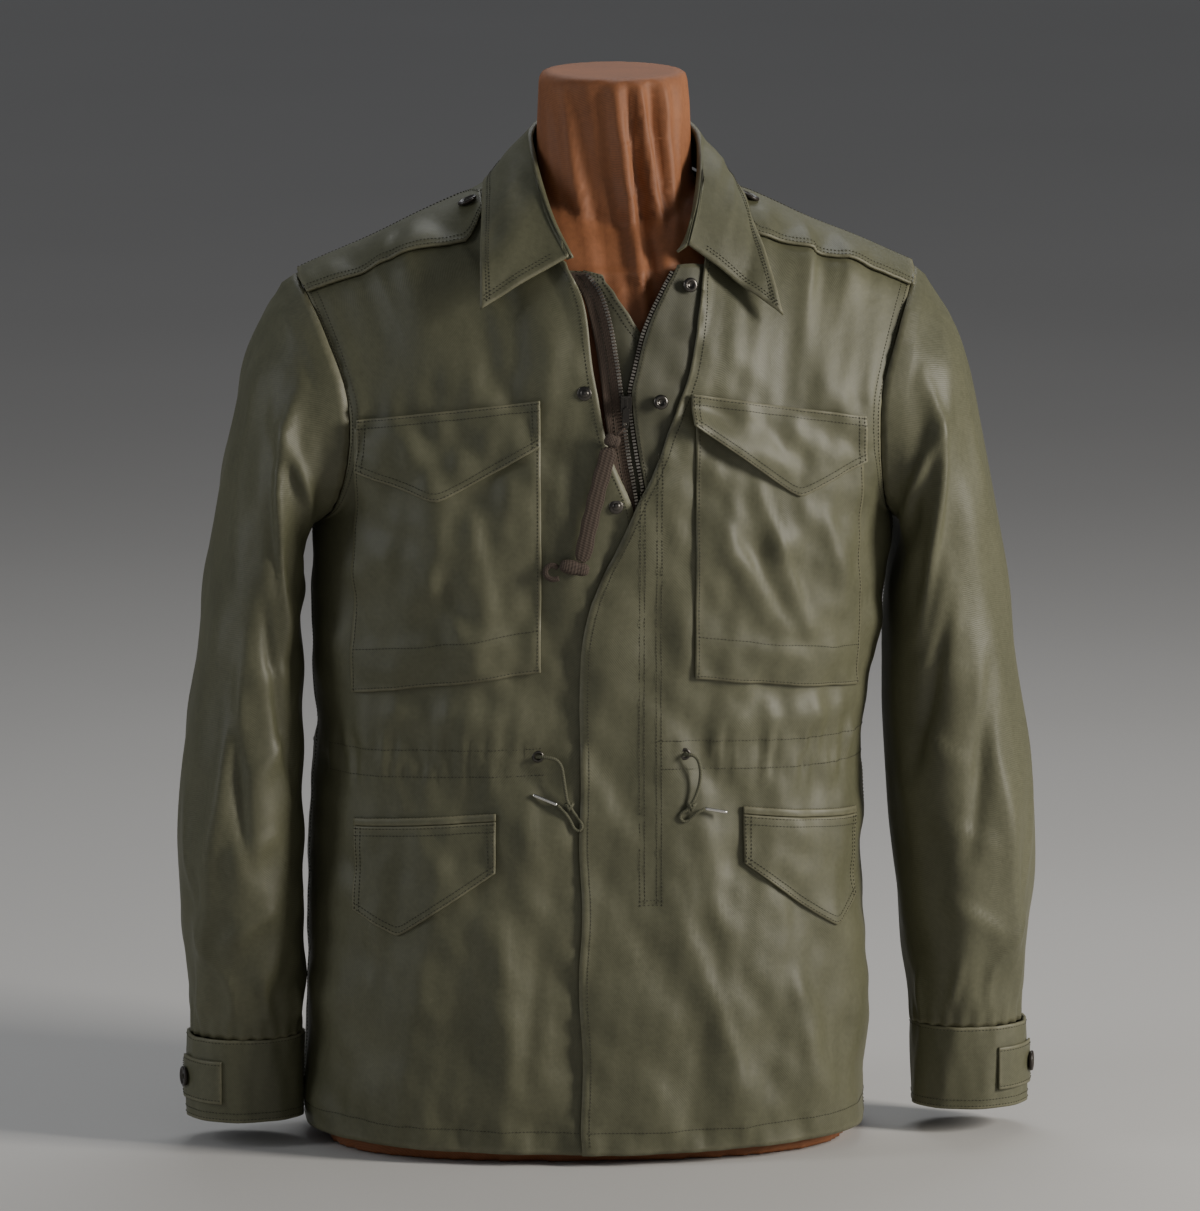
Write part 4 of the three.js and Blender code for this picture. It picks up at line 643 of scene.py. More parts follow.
def cloth_mesh(name: str, grid: Grid, thick: Values = WALL,
               keep: Callable[[int, int], bool] | None = None) -> Piece:
    """A closed cloth wall on a grid, with its UV map in metres and its edge lightening: seam wear and painted seam
    highlight.

    Args:
        name: the piece's name.
        grid: the outer face.
        thick: the wall, for the whole grid or each point.
        keep: says which squares of the grid are cloth, by row and column.

    Returns:
        The object.
    """
    outer, inner = grid.points, grid.moved(-np.asarray(thick, float))
    rows, columns = outer.shape[:2]
    flat = outer.reshape(-1, 3)
    _, first, number = np.unique(np.round(flat * 200), axis=0, return_index=True, return_inverse=True)
    number = number.reshape(rows, columns)
    count = len(first)
    wide = columns if grid.ring else columns - 1
    faces: list[tuple[int, ...]] = []
    edges: set[tuple[int, int]] = set()
    for row in range(rows - 1):
        for column in range(wide):
            if keep and not keep(row, column):
                continue
            after = (column + 1) % columns
            corners = (number[row, column], number[row, after], number[row + 1, after], number[row + 1, column])
            face = tuple(dict.fromkeys(int(corner) for corner in corners))
            if len(face) < 3:
                continue
            faces.append(face)
            edges.update(zip(face, face[1:] + face[:1]))
    walls = [(end, start, count + start, count + end) for start, end in edges if (end, start) not in edges]
    skins = faces + [tuple(count + corner for corner in reversed(face)) for face in faces]
    points = np.concatenate([flat[first], inner.reshape(-1, 3)[first]])
    piece = plain_mesh(name, points, skins + walls)
    across, along = grid.lengths()
    across = (across - across[:, -1:] / 2).ravel()[first] * MM
    along = along.ravel()[first] * MM
    # Lightening towards the free edges: partly rubbed wear, partly painted highlight standing for the lit seam
    # ridges.
    wear = np.exp(-((grid.edge_distance().ravel()[first] / 2.6) ** 2))
    attribute = piece.data.attributes.new("wear", "FLOAT", "POINT")
    attribute.data.foreach_set("value", np.concatenate([wear, wear]).astype(np.float32))
    map_points(piece, np.tile(across, 2), np.tile(along, 2))
    return piece


def tube_mesh(name: str, line: Array, half_width: Values, half_depth: Values,
              sides: int, across: Sequence[float] | None = None) -> Piece:
    """A closed tube with round or oval sections along a line.

    Args:
        name: the piece's name.
        line: the centreline in millimetres.
        half_width: half its width, along across.
        half_depth: half its depth.
        sides: how many sides a section has.
        across: a direction that stays the widest, or None for one carried along the line.

    Returns:
        The object, with a UV map in metres.
    """
    tangent = unit(np.gradient(line, axis=0))
    axis = unit(np.cross(tangent[0], (0.3, 1.0, 0.2))) if across is None else np.array(across, float)
    first = []
    for direction in tangent:
        axis = unit(axis - direction * np.dot(axis, direction))
        first.append(axis)
    first = np.array(first)
    second = np.cross(tangent, first)
    turns = np.linspace(0, 2 * np.pi, sides, endpoint=False)
    wide = np.broadcast_to(np.asarray(half_width, float), len(line))[:, None, None]
    deep = np.broadcast_to(np.asarray(half_depth, float), len(line))[:, None, None]
    rings = (line[:, None] + first[:, None] * np.cos(turns)[None, :, None] * wide
             + second[:, None] * np.sin(turns)[None, :, None] * deep)
    piece = plain_mesh(name, rings.reshape(-1, 3), capped_faces(len(line), sides))
    around = np.arange(sides) / sides * ROUND_MAP
    map_points(piece, np.tile(around, len(line)), np.repeat(lengths_along(line) * MM, sides))
    return piece


def turned_mesh(name: str, profile: Sequence[tuple[float, float]], place: Array, outward: Array,
                sides: int = 40) -> Piece:
    """A turned piece set on a surface, its axis along the outward direction.

    Args:
        name: the piece's name.
        profile: radius and height pairs, from the axis or hole round to it again.
        place: where its foot stands.
        outward: the direction of its axis.
        sides: how many sides it has.

    Returns:
        The object.
    """
    outward = unit(np.asarray(outward, float))
    first = unit(np.cross(outward, (0.12, 0.2, 1.0)))
    second = np.cross(outward, first)
    points: list[Array] = []
    rings: list[list[int]] = []
    for radius, height in profile:
        centre = np.asarray(place) + outward * height
        if radius < 1e-6:
            rings.append([len(points)] * sides)
            points.append(centre)
            continue
        rings.append(list(range(len(points), len(points) + sides)))
        for turn in np.linspace(0, 2 * np.pi, sides, endpoint=False):
            points.append(centre + (first * math.cos(turn) + second * math.sin(turn)) * radius)
    faces = []
    closed = profile[0][0] > 1e-6
    pairs = list(zip(rings, rings[1:])) + ([(rings[-1], rings[0])] if closed else [])
    for lower, upper in pairs:
        for index in range(sides):
            after = (index + 1) % sides
            face = tuple(dict.fromkeys((lower[index], lower[after], upper[after], upper[index])))
            if len(face) > 2:
                faces.append(face)
    return plain_mesh(name, np.array(points), faces)


def joined(name: str, pieces: Sequence[Piece]) -> Piece:
    """Makes several mesh objects into one."""
    with bpy.context.temp_override(active_object=pieces[0], selected_editable_objects=list(pieces)):
        bpy.ops.object.join()
    pieces[0].name = name
    return pieces[0]


@dataclass(frozen=True)
class Socket:
    """A node's output, which adds the nodes of an expression that it is used in."""

    graph: "Graph"
    link: bpy.types.NodeSocket

    def __add__(self, other: "Socket | float") -> "Socket":
        """Self plus other."""
        return self.graph.maths("ADD", self, other)

    def __mul__(self, other: "Socket | float") -> "Socket":
        """Self times other."""
        return self.graph.maths("MULTIPLY", self, other)

    def __sub__(self, other: "Socket | float") -> "Socket":
        """Self less other."""
        return self.graph.maths("SUBTRACT", self, other)


class Graph:
    """A node tree of a material or of Geometry Nodes."""

    def __init__(self, tree: bpy.types.NodeTree) -> None:
        """Starts with an empty tree."""
        self.tree = tree
        tree.nodes.clear()

    def node(self, kind: str, settings: dict[str, object] | None = None,
             inputs: dict[str | int, object] | None = None, output: str | int = 0) -> Socket:
        """Adds a node.

        Args:
            kind: the node's type.
            settings: its own settings, and a ramp's stops under "stops".
            inputs: a value or a Socket for each input, by its identifier, name or number.
            output: which output is wanted.

        Returns:
            That output, or the node's first input where it has no output.
        """
        made = self.tree.nodes.new(kind)
        for key, value in (settings or {}).items():
            if key == "stops":
                ramp = made.color_ramp
                while len(ramp.elements) < len(value):
                    ramp.elements.new(1.0)
                for element, (place, color) in zip(ramp.elements, value):
                    element.position, element.color = place, (*color, 1.0)
            else:
                setattr(made, key, value)
        for key, value in (inputs or {}).items():
            socket = self.pick(made.inputs, key)
            if isinstance(value, Socket):
                self.tree.links.new(value.link, socket)
            else:
                socket.default_value = value
        if not made.outputs:
            return Socket(self, made.inputs[0])
        return Socket(self, self.pick(made.outputs, output))

    @staticmethod
    def pick(sockets: Sequence[bpy.types.NodeSocket], key: str | int) -> bpy.types.NodeSocket:
        """The socket of a number, an identifier or a name."""
        if isinstance(key, int):
            return sockets[key]
        for socket in sockets:
            if socket.identifier == key:
                return socket
        return next(socket for socket in sockets if socket.name == key)

    def maths(self, operation: str, first: "Socket | float", second: "Socket | float") -> Socket:
        """Adds a Math node."""
        return self.node("ShaderNodeMath", {"operation": operation}, {0: first, 1: second})


@dataclass(frozen=True)
class Finish:
    """What all finishes have: a name, a slot, colours, roughness and the fine relief of the surface."""

    name: str
    slot: str
    dark: tuple[float, float, float]
    light: tuple[float, float, float]
    roughness: float
    metallic: float = 0.0
    sheen: float = 0.0
    patch_scale: float = 14.0
    grain_scale: float = 500.0
    bump: float = 0.3
    seed: float = 0.0

    def surface(self, graph: Graph) -> tuple[Socket, Socket, Socket]:
        """Base colour, roughness and height in millimetres of a plain mottled finish."""
        place = graph.node("ShaderNodeTexCoord", output="Object")
        patch = self.noise(graph, place, self.patch_scale, 3.0)
        grain = self.noise(graph, place, self.grain_scale, 2.0)
        share = patch * 0.7 + grain * 0.3
        color = self.blend(graph, share, self.dark, self.light)
        return color, share * 0.16 + (self.roughness - 0.08), grain * 0.05 + patch * 0.1

    def noise(self, graph: Graph, place: Socket, scale: float, detail: float) -> Socket:
        """A noise between 0 and 1 at a scale in waves to the metre."""
        return graph.node("ShaderNodeTexNoise", {"noise_dimensions": "4D"},
                          {"Vector": place, "Scale": scale, "Detail": detail, "W": self.seed}, "Fac")

    @staticmethod
    def blend(graph: Graph, share: Socket, dark: Sequence[float] | Socket, light: Sequence[float] | Socket) -> Socket:
        """A colour between two, by a share."""
        values = {"Factor_Float": share}
        for key, color in (("A_Color", dark), ("B_Color", light)):
            values[key] = color if isinstance(color, Socket) else (*color, 1.0)
        return graph.node("ShaderNodeMix", {"data_type": "RGBA", "clamp_factor": True}, values, "Result_Color")

    def material(self) -> bpy.types.Material:
        """Makes the material.

        Returns:
            A node-based material with this finish.
        """
        made = bpy.data.materials.new(self.name)
        made.use_nodes = True
        graph = Graph(made.node_tree)
        color, rough, height = self.surface(graph)
        normal = graph.node("ShaderNodeBump", None, {"Strength": self.bump, "Distance": MM, "Height": height},
                            "Normal")
        shader = graph.node("ShaderNodeBsdfPrincipled", None, {
            "Base Color": color, "Roughness": rough, "Metallic": self.metallic, "Normal": normal,
            "Sheen Weight": self.sheen, "Sheen Roughness": 0.35, "Sheen Tint": (*self.light, 1.0),
        }, "BSDF")
        graph.node("ShaderNodeOutputMaterial", None, {"Surface": shader})
        made.diffuse_color = (*self.light, 1.0)
        return made


@dataclass(frozen=True)
class ClothFinish(Finish):
    """Woven cloth: a diagonal weave, crumples, and edges lighter along the seams, partly rubbed wear and partly
    painted highlight.
    """

    weave_pitch: float = 0.9
    crumple: float = 1.0
    # Colour of the edge lightening: rubbed wear mixed with painted highlight.
    worn_and_lit: tuple[float, float, float] = (0.2, 0.19, 0.12)

    def surface(self, graph: Graph) -> tuple[Socket, Socket, Socket]:
        """Base colour, roughness and height in millimetres of the cloth."""
        place = graph.node("ShaderNodeTexCoord", output="Object")
        uv = graph.node("ShaderNodeUVMap", {"uv_map": "UVMap"}, output="UV")
        weave = graph.node("ShaderNodeTexWave", {"wave_type": "BANDS", "bands_direction": "DIAGONAL"}, {
            "Vector": uv, "Scale": BAND_SCALE / self.weave_pitch, "Distortion": 0.6, "Detail": 1.0,
            "Detail Scale": 2.0}, "Fac")
        patch = self.noise(graph, place, self.patch_scale, 4.0)
        streak = self.noise(graph, graph.node("ShaderNodeMapping", None, {"Vector": place, "Scale": (90, 90, 22)}),
                            1.0, 3.0)
        crease = self.noise(graph, place, 64.0, 6.0)
        wear = graph.node("ShaderNodeAttribute", {"attribute_name": "wear"}, output="Fac")
        fine = self.noise(graph, place, 260.0, 3.0)
        share = patch * 0.4 + streak * 0.16 + weave * 0.16 + fine * 0.28
        plain = self.blend(graph, (share - 0.32) * 2.6, self.dark, self.light)
        # Edges lightened: rubbed wear and painted highlight on the seam ridges.
        color = self.blend(graph, wear * (fine * 0.7 + 0.1), plain, self.worn_and_lit)
        height = crease * (0.9 * self.crumple) + streak * 0.2 * self.crumple + weave * 0.08 + fine * 0.14
        return color, share * 0.2 + (self.roughness - 0.1), height


@dataclass(frozen=True)
class BraidFinish(Finish):
    """Braided or ribbed cord: bands across its length, crossed by the strands."""

    pitch: float = 1.4
    ways: tuple[str, str] = ("DIAGONAL", "Y")

    def surface(self, graph: Graph) -> tuple[Socket, Socket, Socket]:
        """Base colour, roughness and height in millimetres of the braid."""
        uv = graph.node("ShaderNodeUVMap", {"uv_map": "UVMap"}, output="UV")
        bands = [graph.node("ShaderNodeTexWave", {"wave_type": "BANDS", "bands_direction": way}, {
            "Vector": uv, "Scale": BAND_SCALE / self.pitch, "Distortion": 0.4}, "Fac") for way in self.ways]
        place = graph.node("ShaderNodeTexCoord", output="Object")
        grain = self.noise(graph, place, 420.0, 2.0)
        share = bands[0] * 0.3 + bands[1] * 0.4 + grain * 0.3
        return self.blend(graph, share, self.dark, self.light), grain * 0.1 + self.roughness, share * 0.5


SATEEN = ClothFinish("sateen_olive", "sateen", (0.066, 0.067, 0.036), (0.125, 0.124, 0.072), 0.52, sheen=0.2,
                     bump=0.6,
                     seed=1.0)
# A darker, less glossy copy of the sateen for the zip facing and zip guard: painted shade for the cloth that lies
# under the fly.
SATEEN_SHADED = ClothFinish("sateen_inner", "sateen", (0.05, 0.05, 0.03), (0.088, 0.088, 0.052), 0.6, sheen=0.12,
                          bump=0.5,
                          seed=2.0, crumple=0.6)
COVER = ClothFinish("form_cover_brown", "cover", (0.17, 0.06, 0.02), (0.33, 0.125, 0.048), 0.66, sheen=0.15,
                    bump=0.35,
                    seed=3.0, crumple=0.5, worn_and_lit=(0.4, 0.19, 0.1))
# Thread far darker than the sateen: painted shade for the sunken stitch holes, over the thread's own olive.
SHADED_THREAD = Finish("thread_olive", "sateen", (0.022, 0.022, 0.013), (0.05, 0.049, 0.03), 0.75, grain_scale=900.0,
                seed=4.0)
TAPE = BraidFinish("zip_tape_brown", "tape", (0.045, 0.031, 0.022), (0.1, 0.07, 0.05), 0.8, seed=5.0, pitch=1.6,
                   ways=("DIAGONAL", "X"))
LACE = BraidFinish("pull_lace_brown", "tape", (0.034, 0.023, 0.016), (0.09, 0.065, 0.048), 0.8, bump=0.9, seed=6.0,
                   pitch=1.0,
                   ways=("DIAGONAL", "X"))
CORD = BraidFinish("drawcord_olive", "cord", (0.05, 0.05, 0.03), (0.13, 0.13, 0.08), 0.8, bump=0.7, seed=7.0,
                   pitch=1.5)
STEEL = Finish("steel_dark", "steel", (0.05, 0.045, 0.04), (0.16, 0.15, 0.135), 0.3, metallic=1.0, grain_scale=900.0,
               seed=8.0)
TOOTH = Finish("tooth_worn", "steel", (0.12, 0.11, 0.095), (0.36, 0.34, 0.3), 0.3, metallic=1.0, grain_scale=1200.0,
               seed=9.0)
HORN = Finish("button_dark_brown", "button", (0.012, 0.009, 0.007), (0.034, 0.026, 0.019), 0.32, grain_scale=600.0,
              seed=10.0)
BRIGHT = Finish("aglet_bright", "aglet", (0.5, 0.49, 0.46), (0.8, 0.79, 0.75), 0.22, metallic=1.0, grain_scale=1500.0,
                seed=11.0)


class Wardrobe:
    """Keeps one material for each finish, and finishes the pieces."""

    def __init__(self) -> None:
        """Starts with no material made."""
        self.made: dict[str, bpy.types.Material] = {}

    def material(self, finish: Finish) -> bpy.types.Material:
        """The material of a finish, made at its first use."""
        if finish.name not in self.made:
            self.made[finish.name] = finish.material()
        return self.made[finish.name]

    def dress(self, piece: Piece, finish: Finish, *nodes: str, body: str = ROOT) -> Piece:
        """Finishes a piece and ties it to its body and the solids that it stands for.

        Args:
            piece: the piece, complete and in its place.
            finish: its finish.
            nodes: the names of the solids that it replaces.
            body: the body that it moves with.

        Returns:
            The piece.
        """
        piece.data.materials.clear()
        piece.data.materials.append(self.material(finish))
        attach(piece, body)
        if nodes:
            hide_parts(*nodes)
        log.info("%s: %d faces, in for %s", piece.name, len(piece.data.polygons), ", ".join(nodes) or "no solid")
        return piece

    def cloth(self, name: str, grid: Grid, wall: Values, nodes: Sequence[str],
              finish: Finish = SATEEN, keep: Callable[[int, int], bool] | None = None) -> Grid:
        """Args:
            name: the piece's name.
            grid: its outer face.
            wall: its thickness.
            nodes: the solids that it stands for.
            finish: its finish.
            keep: says which squares of the grid are cloth.

        Returns:
            The grid.
        """
        piece = self.dress(cloth_mesh(name, grid, wall, keep), finish, *nodes)
        width, length, area = grid.size()
        width, length = round(width, 3), max(LEAST_CUT, round(length, 3))
        area = round(min(area, width * length), 4)
        log.info("%s: cut %.3f by %.3f m, %.4f square metres", name, width, length, area)
        return grid


WARDROBE = Wardrobe()


class StitchRun:
    """Rows of stitches, set along lines by Geometry Nodes."""

    def __init__(self, pitch: float = 2.9, length: float = 2.0, thick: float = 0.62) -> None:
        """Keeps the stitch's sizes in millimetres and starts with no line."""
        self.pitch, self.length, self.thick = pitch, length, thick
        self.lines: list[Array] = []

    def add(self, *lines: Array) -> None:
        """Adds lines of points in millimetres."""
        self.lines.extend(lines)

    def tree(self, shape: Piece, material: bpy.types.Material) -> tuple[bpy.types.NodeTree, dict[str, str]]:
        """The node tree that sets a shape along curves.

        Args:
            shape: the object that is repeated; not used.
            material: its material.

        Returns:
            The tree, and the identifiers of its named inputs.
        """
        tree = bpy.data.node_groups.new("run_along_line", "GeometryNodeTree")
        names = {}
        for name, kind in (("Geometry", "NodeSocketGeometry"), ("Pitch", "NodeSocketFloat"),
                           ("Shape", "NodeSocketObject")):
            names[name] = tree.interface.new_socket(name, in_out="INPUT", socket_type=kind).identifier
        tree.interface.new_socket("Geometry", in_out="OUTPUT", socket_type="NodeSocketGeometry")
        graph = Graph(tree)
        group = graph.node("NodeGroupInput", output="Geometry")
        held = group.link.node.outputs
        curve = graph.node("GeometryNodeMeshToCurve", None, {"Mesh": group})
        points = graph.node("GeometryNodeCurveToPoints", {"mode": "LENGTH"},
                            {"Curve": curve, "Length": Socket(graph, held["Pitch"])})
        along = Socket(graph, points.link.node.outputs["Tangent"])
        turned = graph.node("FunctionNodeAxesToRotation", {"primary_axis": "Z", "secondary_axis": "Y"},
                            {"Primary Axis": along, "Secondary Axis": (0.0, 1.0, 0.0)})
        info = graph.node("GeometryNodeObjectInfo", None, {"Object": Socket(graph, held["Shape"])}, "Geometry")
        placed = graph.node("GeometryNodeInstanceOnPoints", None,
                            {"Points": points, "Instance": info, "Rotation": turned})
        real = graph.node("GeometryNodeRealizeInstances", None, {"Geometry": placed})
        finished = graph.node("GeometryNodeSetMaterial", None, {"Geometry": real, "Material": material})
        graph.node("NodeGroupOutput", None, {"Geometry": finished})
        return tree, names

    def build(self, name: str, finish: Finish, shape: Piece | None = None,
              body: str = ROOT) -> Piece:
        """Sets the shape along all lines.

        Args:
            name: the piece's name.
            finish: its finish.
            shape: what is repeated, with its length along Z, or None for a stitch.
            body: the body that it moves with.

        Returns:
            The finished piece.
        """
        starts = np.cumsum([0, *(len(line) for line in self.lines)])
        edges = [(place, place + 1) for start, end in zip(starts, starts[1:]) for place in range(start, end - 1)]
        lines = bpy.data.meshes.new(f"{name}_lines")
        lines.from_pydata((np.concatenate(self.lines) * MM).tolist(), edges, [])
        holder = placed(f"{name}_holder", lines)
        made = shape or self.stitch()
        tree, names = self.tree(made, WARDROBE.material(finish))
        modifier = holder.modifiers.new("run", "NODES")
        modifier.node_group = tree
        modifier[names["Pitch"]] = self.pitch * MM
        modifier[names["Shape"]] = made
        depsgraph = bpy.context.evaluated_depsgraph_get()
        mesh = bpy.data.meshes.new_from_object(holder.evaluated_get(depsgraph))
        mesh.name = name
        for item in (holder, made):
            bpy.data.objects.remove(item)
        return WARDROBE.dress(placed(name, mesh), finish, body=body)

    def stitch(self) -> Piece:
        """One stitch: a low hump, longest along Z."""
        half, side = self.length / 2, self.thick / 2
        points = [(0, 0, -half), (side, 0, -half * 0.4), (0, side, -half * 0.4), (-side, 0, -half * 0.4),
                  (0, -side, -half * 0.4), (side, 0, half * 0.4), (0, side, half * 0.4), (-side, 0, half * 0.4),
                  (0, -side, half * 0.4), (0, 0, half)]
        faces = [(1, 2, 6, 5), (2, 3, 7, 6), (3, 4, 8, 7), (4, 1, 5, 8), (0, 2, 1), (0, 3, 2), (0, 4, 3), (0, 1, 4),
                 (9, 5, 6), (9, 6, 7), (9, 7, 8), (9, 8, 5)]
        return plain_mesh("stitch_shape", np.array(points), faces)


@dataclass
class Sewn:
    """A group of pieces that gathers the lines of its stitches."""

    stitches: list[Array] = field(default_factory=list, init=False)


class Drawcords:
    """The two ends of the waist drawcord: cord, knot, tail and aglet."""

    RADIUS = 1.35
    ROUTES = {"left": rows_of("""
        50 -129.5 324; 51.5 -135.5 324.6; 55.5 -136.8 324.4; 59.6 -136.2 321; 61.8 -135.2 313; 61.8 -134.6 305;
        60.2 -134.8 297; 56.5 -135.5 288.1; 51.6 -136 281.1; 47.6 -135.8 278.6; 46 -135.6 275; 48.4 -135.4 272;
        52.4 -135.4 272.6; 55.8 -136 275.6; 60.4 -136.6 279.4; 65.5 -135.6 281.6"""),
              "right": rows_of("""
        -64 -125.9 323; -62 -130.8 323.8; -56.5 -132.4 323.4; -50.5 -132.8 321.6; -46.4 -133 316;
        -44.6 -133.2 306; -43.2 -133.6 296; -41.8 -133.9 289.1; -37.4 -134.4 280.6; -33.4 -135.2 275.6;
        -30.6 -135.6 270; -32.6 -135.4 265.8; -36.6 -134.8 267.6; -39.4 -134.4 273.2; -43.4 -134.4 279.4;
        -49.6 -133.4 286""")}
    AGLETS = {"left": rows_of("65.9 -135.5 281.7; 83 -132.4 278"),
              "right": rows_of("-49.9 -133.35 286.3; -68 -130.4 293.6")}
    KNOTS = {"left": (55.2, -136, 283.8), "right": (-40.6, -134, 284.6)}

    def build(self) -> None:
        """Builds both ends."""
        for name in ("left", "right"):
            line = even_line(smooth_line(self.ROUTES[name], 8), 0.9)
            cord = tube_mesh(f"drawcord_end_{name}", line, self.RADIUS, self.RADIUS, 12)
            WARDROBE.dress(cord, CORD, f"drawcord_{name}", f"drawcord_tail_{name}")
            knot = self.knot(name)
            tip = self.RADIUS + 0.15
            aglet = tube_mesh(f"aglet_{name}", even_line(np.array(self.AGLETS[name]), 1.4), tip, tip, 16)
            WARDROBE.dress(aglet, BRIGHT, f"drawcord_aglet_{name}")

    def knot(self, name: str) -> Piece:
        """An overhand knot: one turn of cord wound round the cord in the middle."""
        middle = np.array(self.KNOTS[name])
        turns = np.linspace(0, 2 * np.pi, 49)
        line = middle + np.stack([2.1 * np.sin(turns) + 1.3 * np.sin(2 * turns), -1.1 * np.cos(3 * turns),
                                  2.0 * np.cos(turns) - 1.4 * np.cos(2 * turns)], -1)
        knot = tube_mesh(f"knot_{name}", line[:-1], self.RADIUS * 0.98, self.RADIUS * 0.98, 10)
        return WARDROBE.dress(knot, CORD, f"drawcord_knot_{name}")


class PullLace:
    """The flat lace on the zip's tab: tie, upper knot, ribbon, lower knot and loose end."""

    WIDTH = 13.0
    DEPTH = 2.4
    TIE = rows_of("1.8 -143.1 584; -0.8 -143.6 581.4; -3.9 -143.6 578.9")
    ROUTE = rows_of("""
        -9.6 -142.2 568.4; -13 -142.6 556; -17.5 -143 540; -22 -143.2 522; -26 -143.2 505; -29.5 -143 488;
        -32 -142.7 479.6""")
    LOOP = rows_of("""
        -49.6 -142.2 474.5; -53 -141.6 476.5; -57 -141.2 476; -59.5 -141 472; -58 -141 467.5; -53.5 -141.4 465.5;
        -49 -141.8 466.5""")

    def build(self) -> None:
        line = even_line(smooth_line(self.ROUTE, 8), 0.8)
        swell = 1 + 0.05 * np.sin(np.linspace(0, 31, len(line)))
        ends = np.minimum(1, 0.55 + np.minimum(np.arange(len(line)), np.arange(len(line))[::-1]) / 12)
        lace = tube_mesh("lace_ribbon", line, self.WIDTH / 2 * swell * ends, self.DEPTH / 2, 20, (1.0, 0.0, 0.25))
        WARDROBE.dress(lace, LACE, "pull_lace", body=PULL)
        tie = tube_mesh("lace_tie", even_line(smooth_line(self.TIE, 8), 0.5), 1.15, 1.15, 10)
        WARDROBE.dress(tie, LACE, "pull_lace_tie", body=PULL)
        end = tube_mesh("lace_loop", even_line(smooth_line(self.LOOP, 8), 0.8), 2.2, 0.9, 12, (0.2, 0.1, 1.0))
        WARDROBE.dress(end, LACE, "pull_lace_end", body=PULL)
        upper = self.knot("lace_knot_upper", (-7.5, -142.4, 574), (6.2, 3.9, 5.4), 20, "pull_lace_knot_upper")
        lower = self.knot("lace_knot_lower", (-37, -142.8, 474.5), (11.6, 4.3, 5.8), 12, "pull_lace_knot_lower")

    def knot(self, name: str, middle: Sequence[float], half: Sequence[float], turn: float,
             node: str) -> Piece:
        """A flat lace knot: a wrapped body with a crossing band, turned in the jacket's front plane.

        Args:
            name: the piece's name.
            middle: its middle.
            half: half its width, depth and height.
            turn: how far it is turned, in degrees.
            node: the solid that it stands for.

        Returns:
            The knot.
        """
        angles = np.linspace(-0.5 * np.pi, 0.5 * np.pi, 25)
        lengths = np.linspace(0, 2 * np.pi, 40, endpoint=False)
        lean = math.radians(turn)
        points = []
        for angle in angles:
            for length in lengths:
                band = 0.1 * np.exp(-((math.sin(angle) - 0.25) / 0.16) ** 2)
                groove = 1 - band + 0.05 * math.cos(5 * length)
                x = half[0] * math.sin(angle)
                radius = math.cos(angle) ** 0.55 * groove if abs(math.cos(angle)) > 1e-6 else 0.0
                y, z = half[1] * radius * math.cos(length), half[2] * radius * math.sin(length)
                points.append((middle[0] + x * math.cos(lean) + z * math.sin(lean), middle[1] + y,
                               middle[2] - x * math.sin(lean) + z * math.cos(lean)))
        rings, count = len(angles), len(lengths)
        piece = plain_mesh(name, np.array(points), capped_faces(rings, count))
        map_points(piece, np.repeat(np.arange(rings) * 0.0006, count),
                   np.tile(np.arange(count) / count * 0.02, rings))
        return WARDROBE.dress(piece, LACE, node, body=PULL)


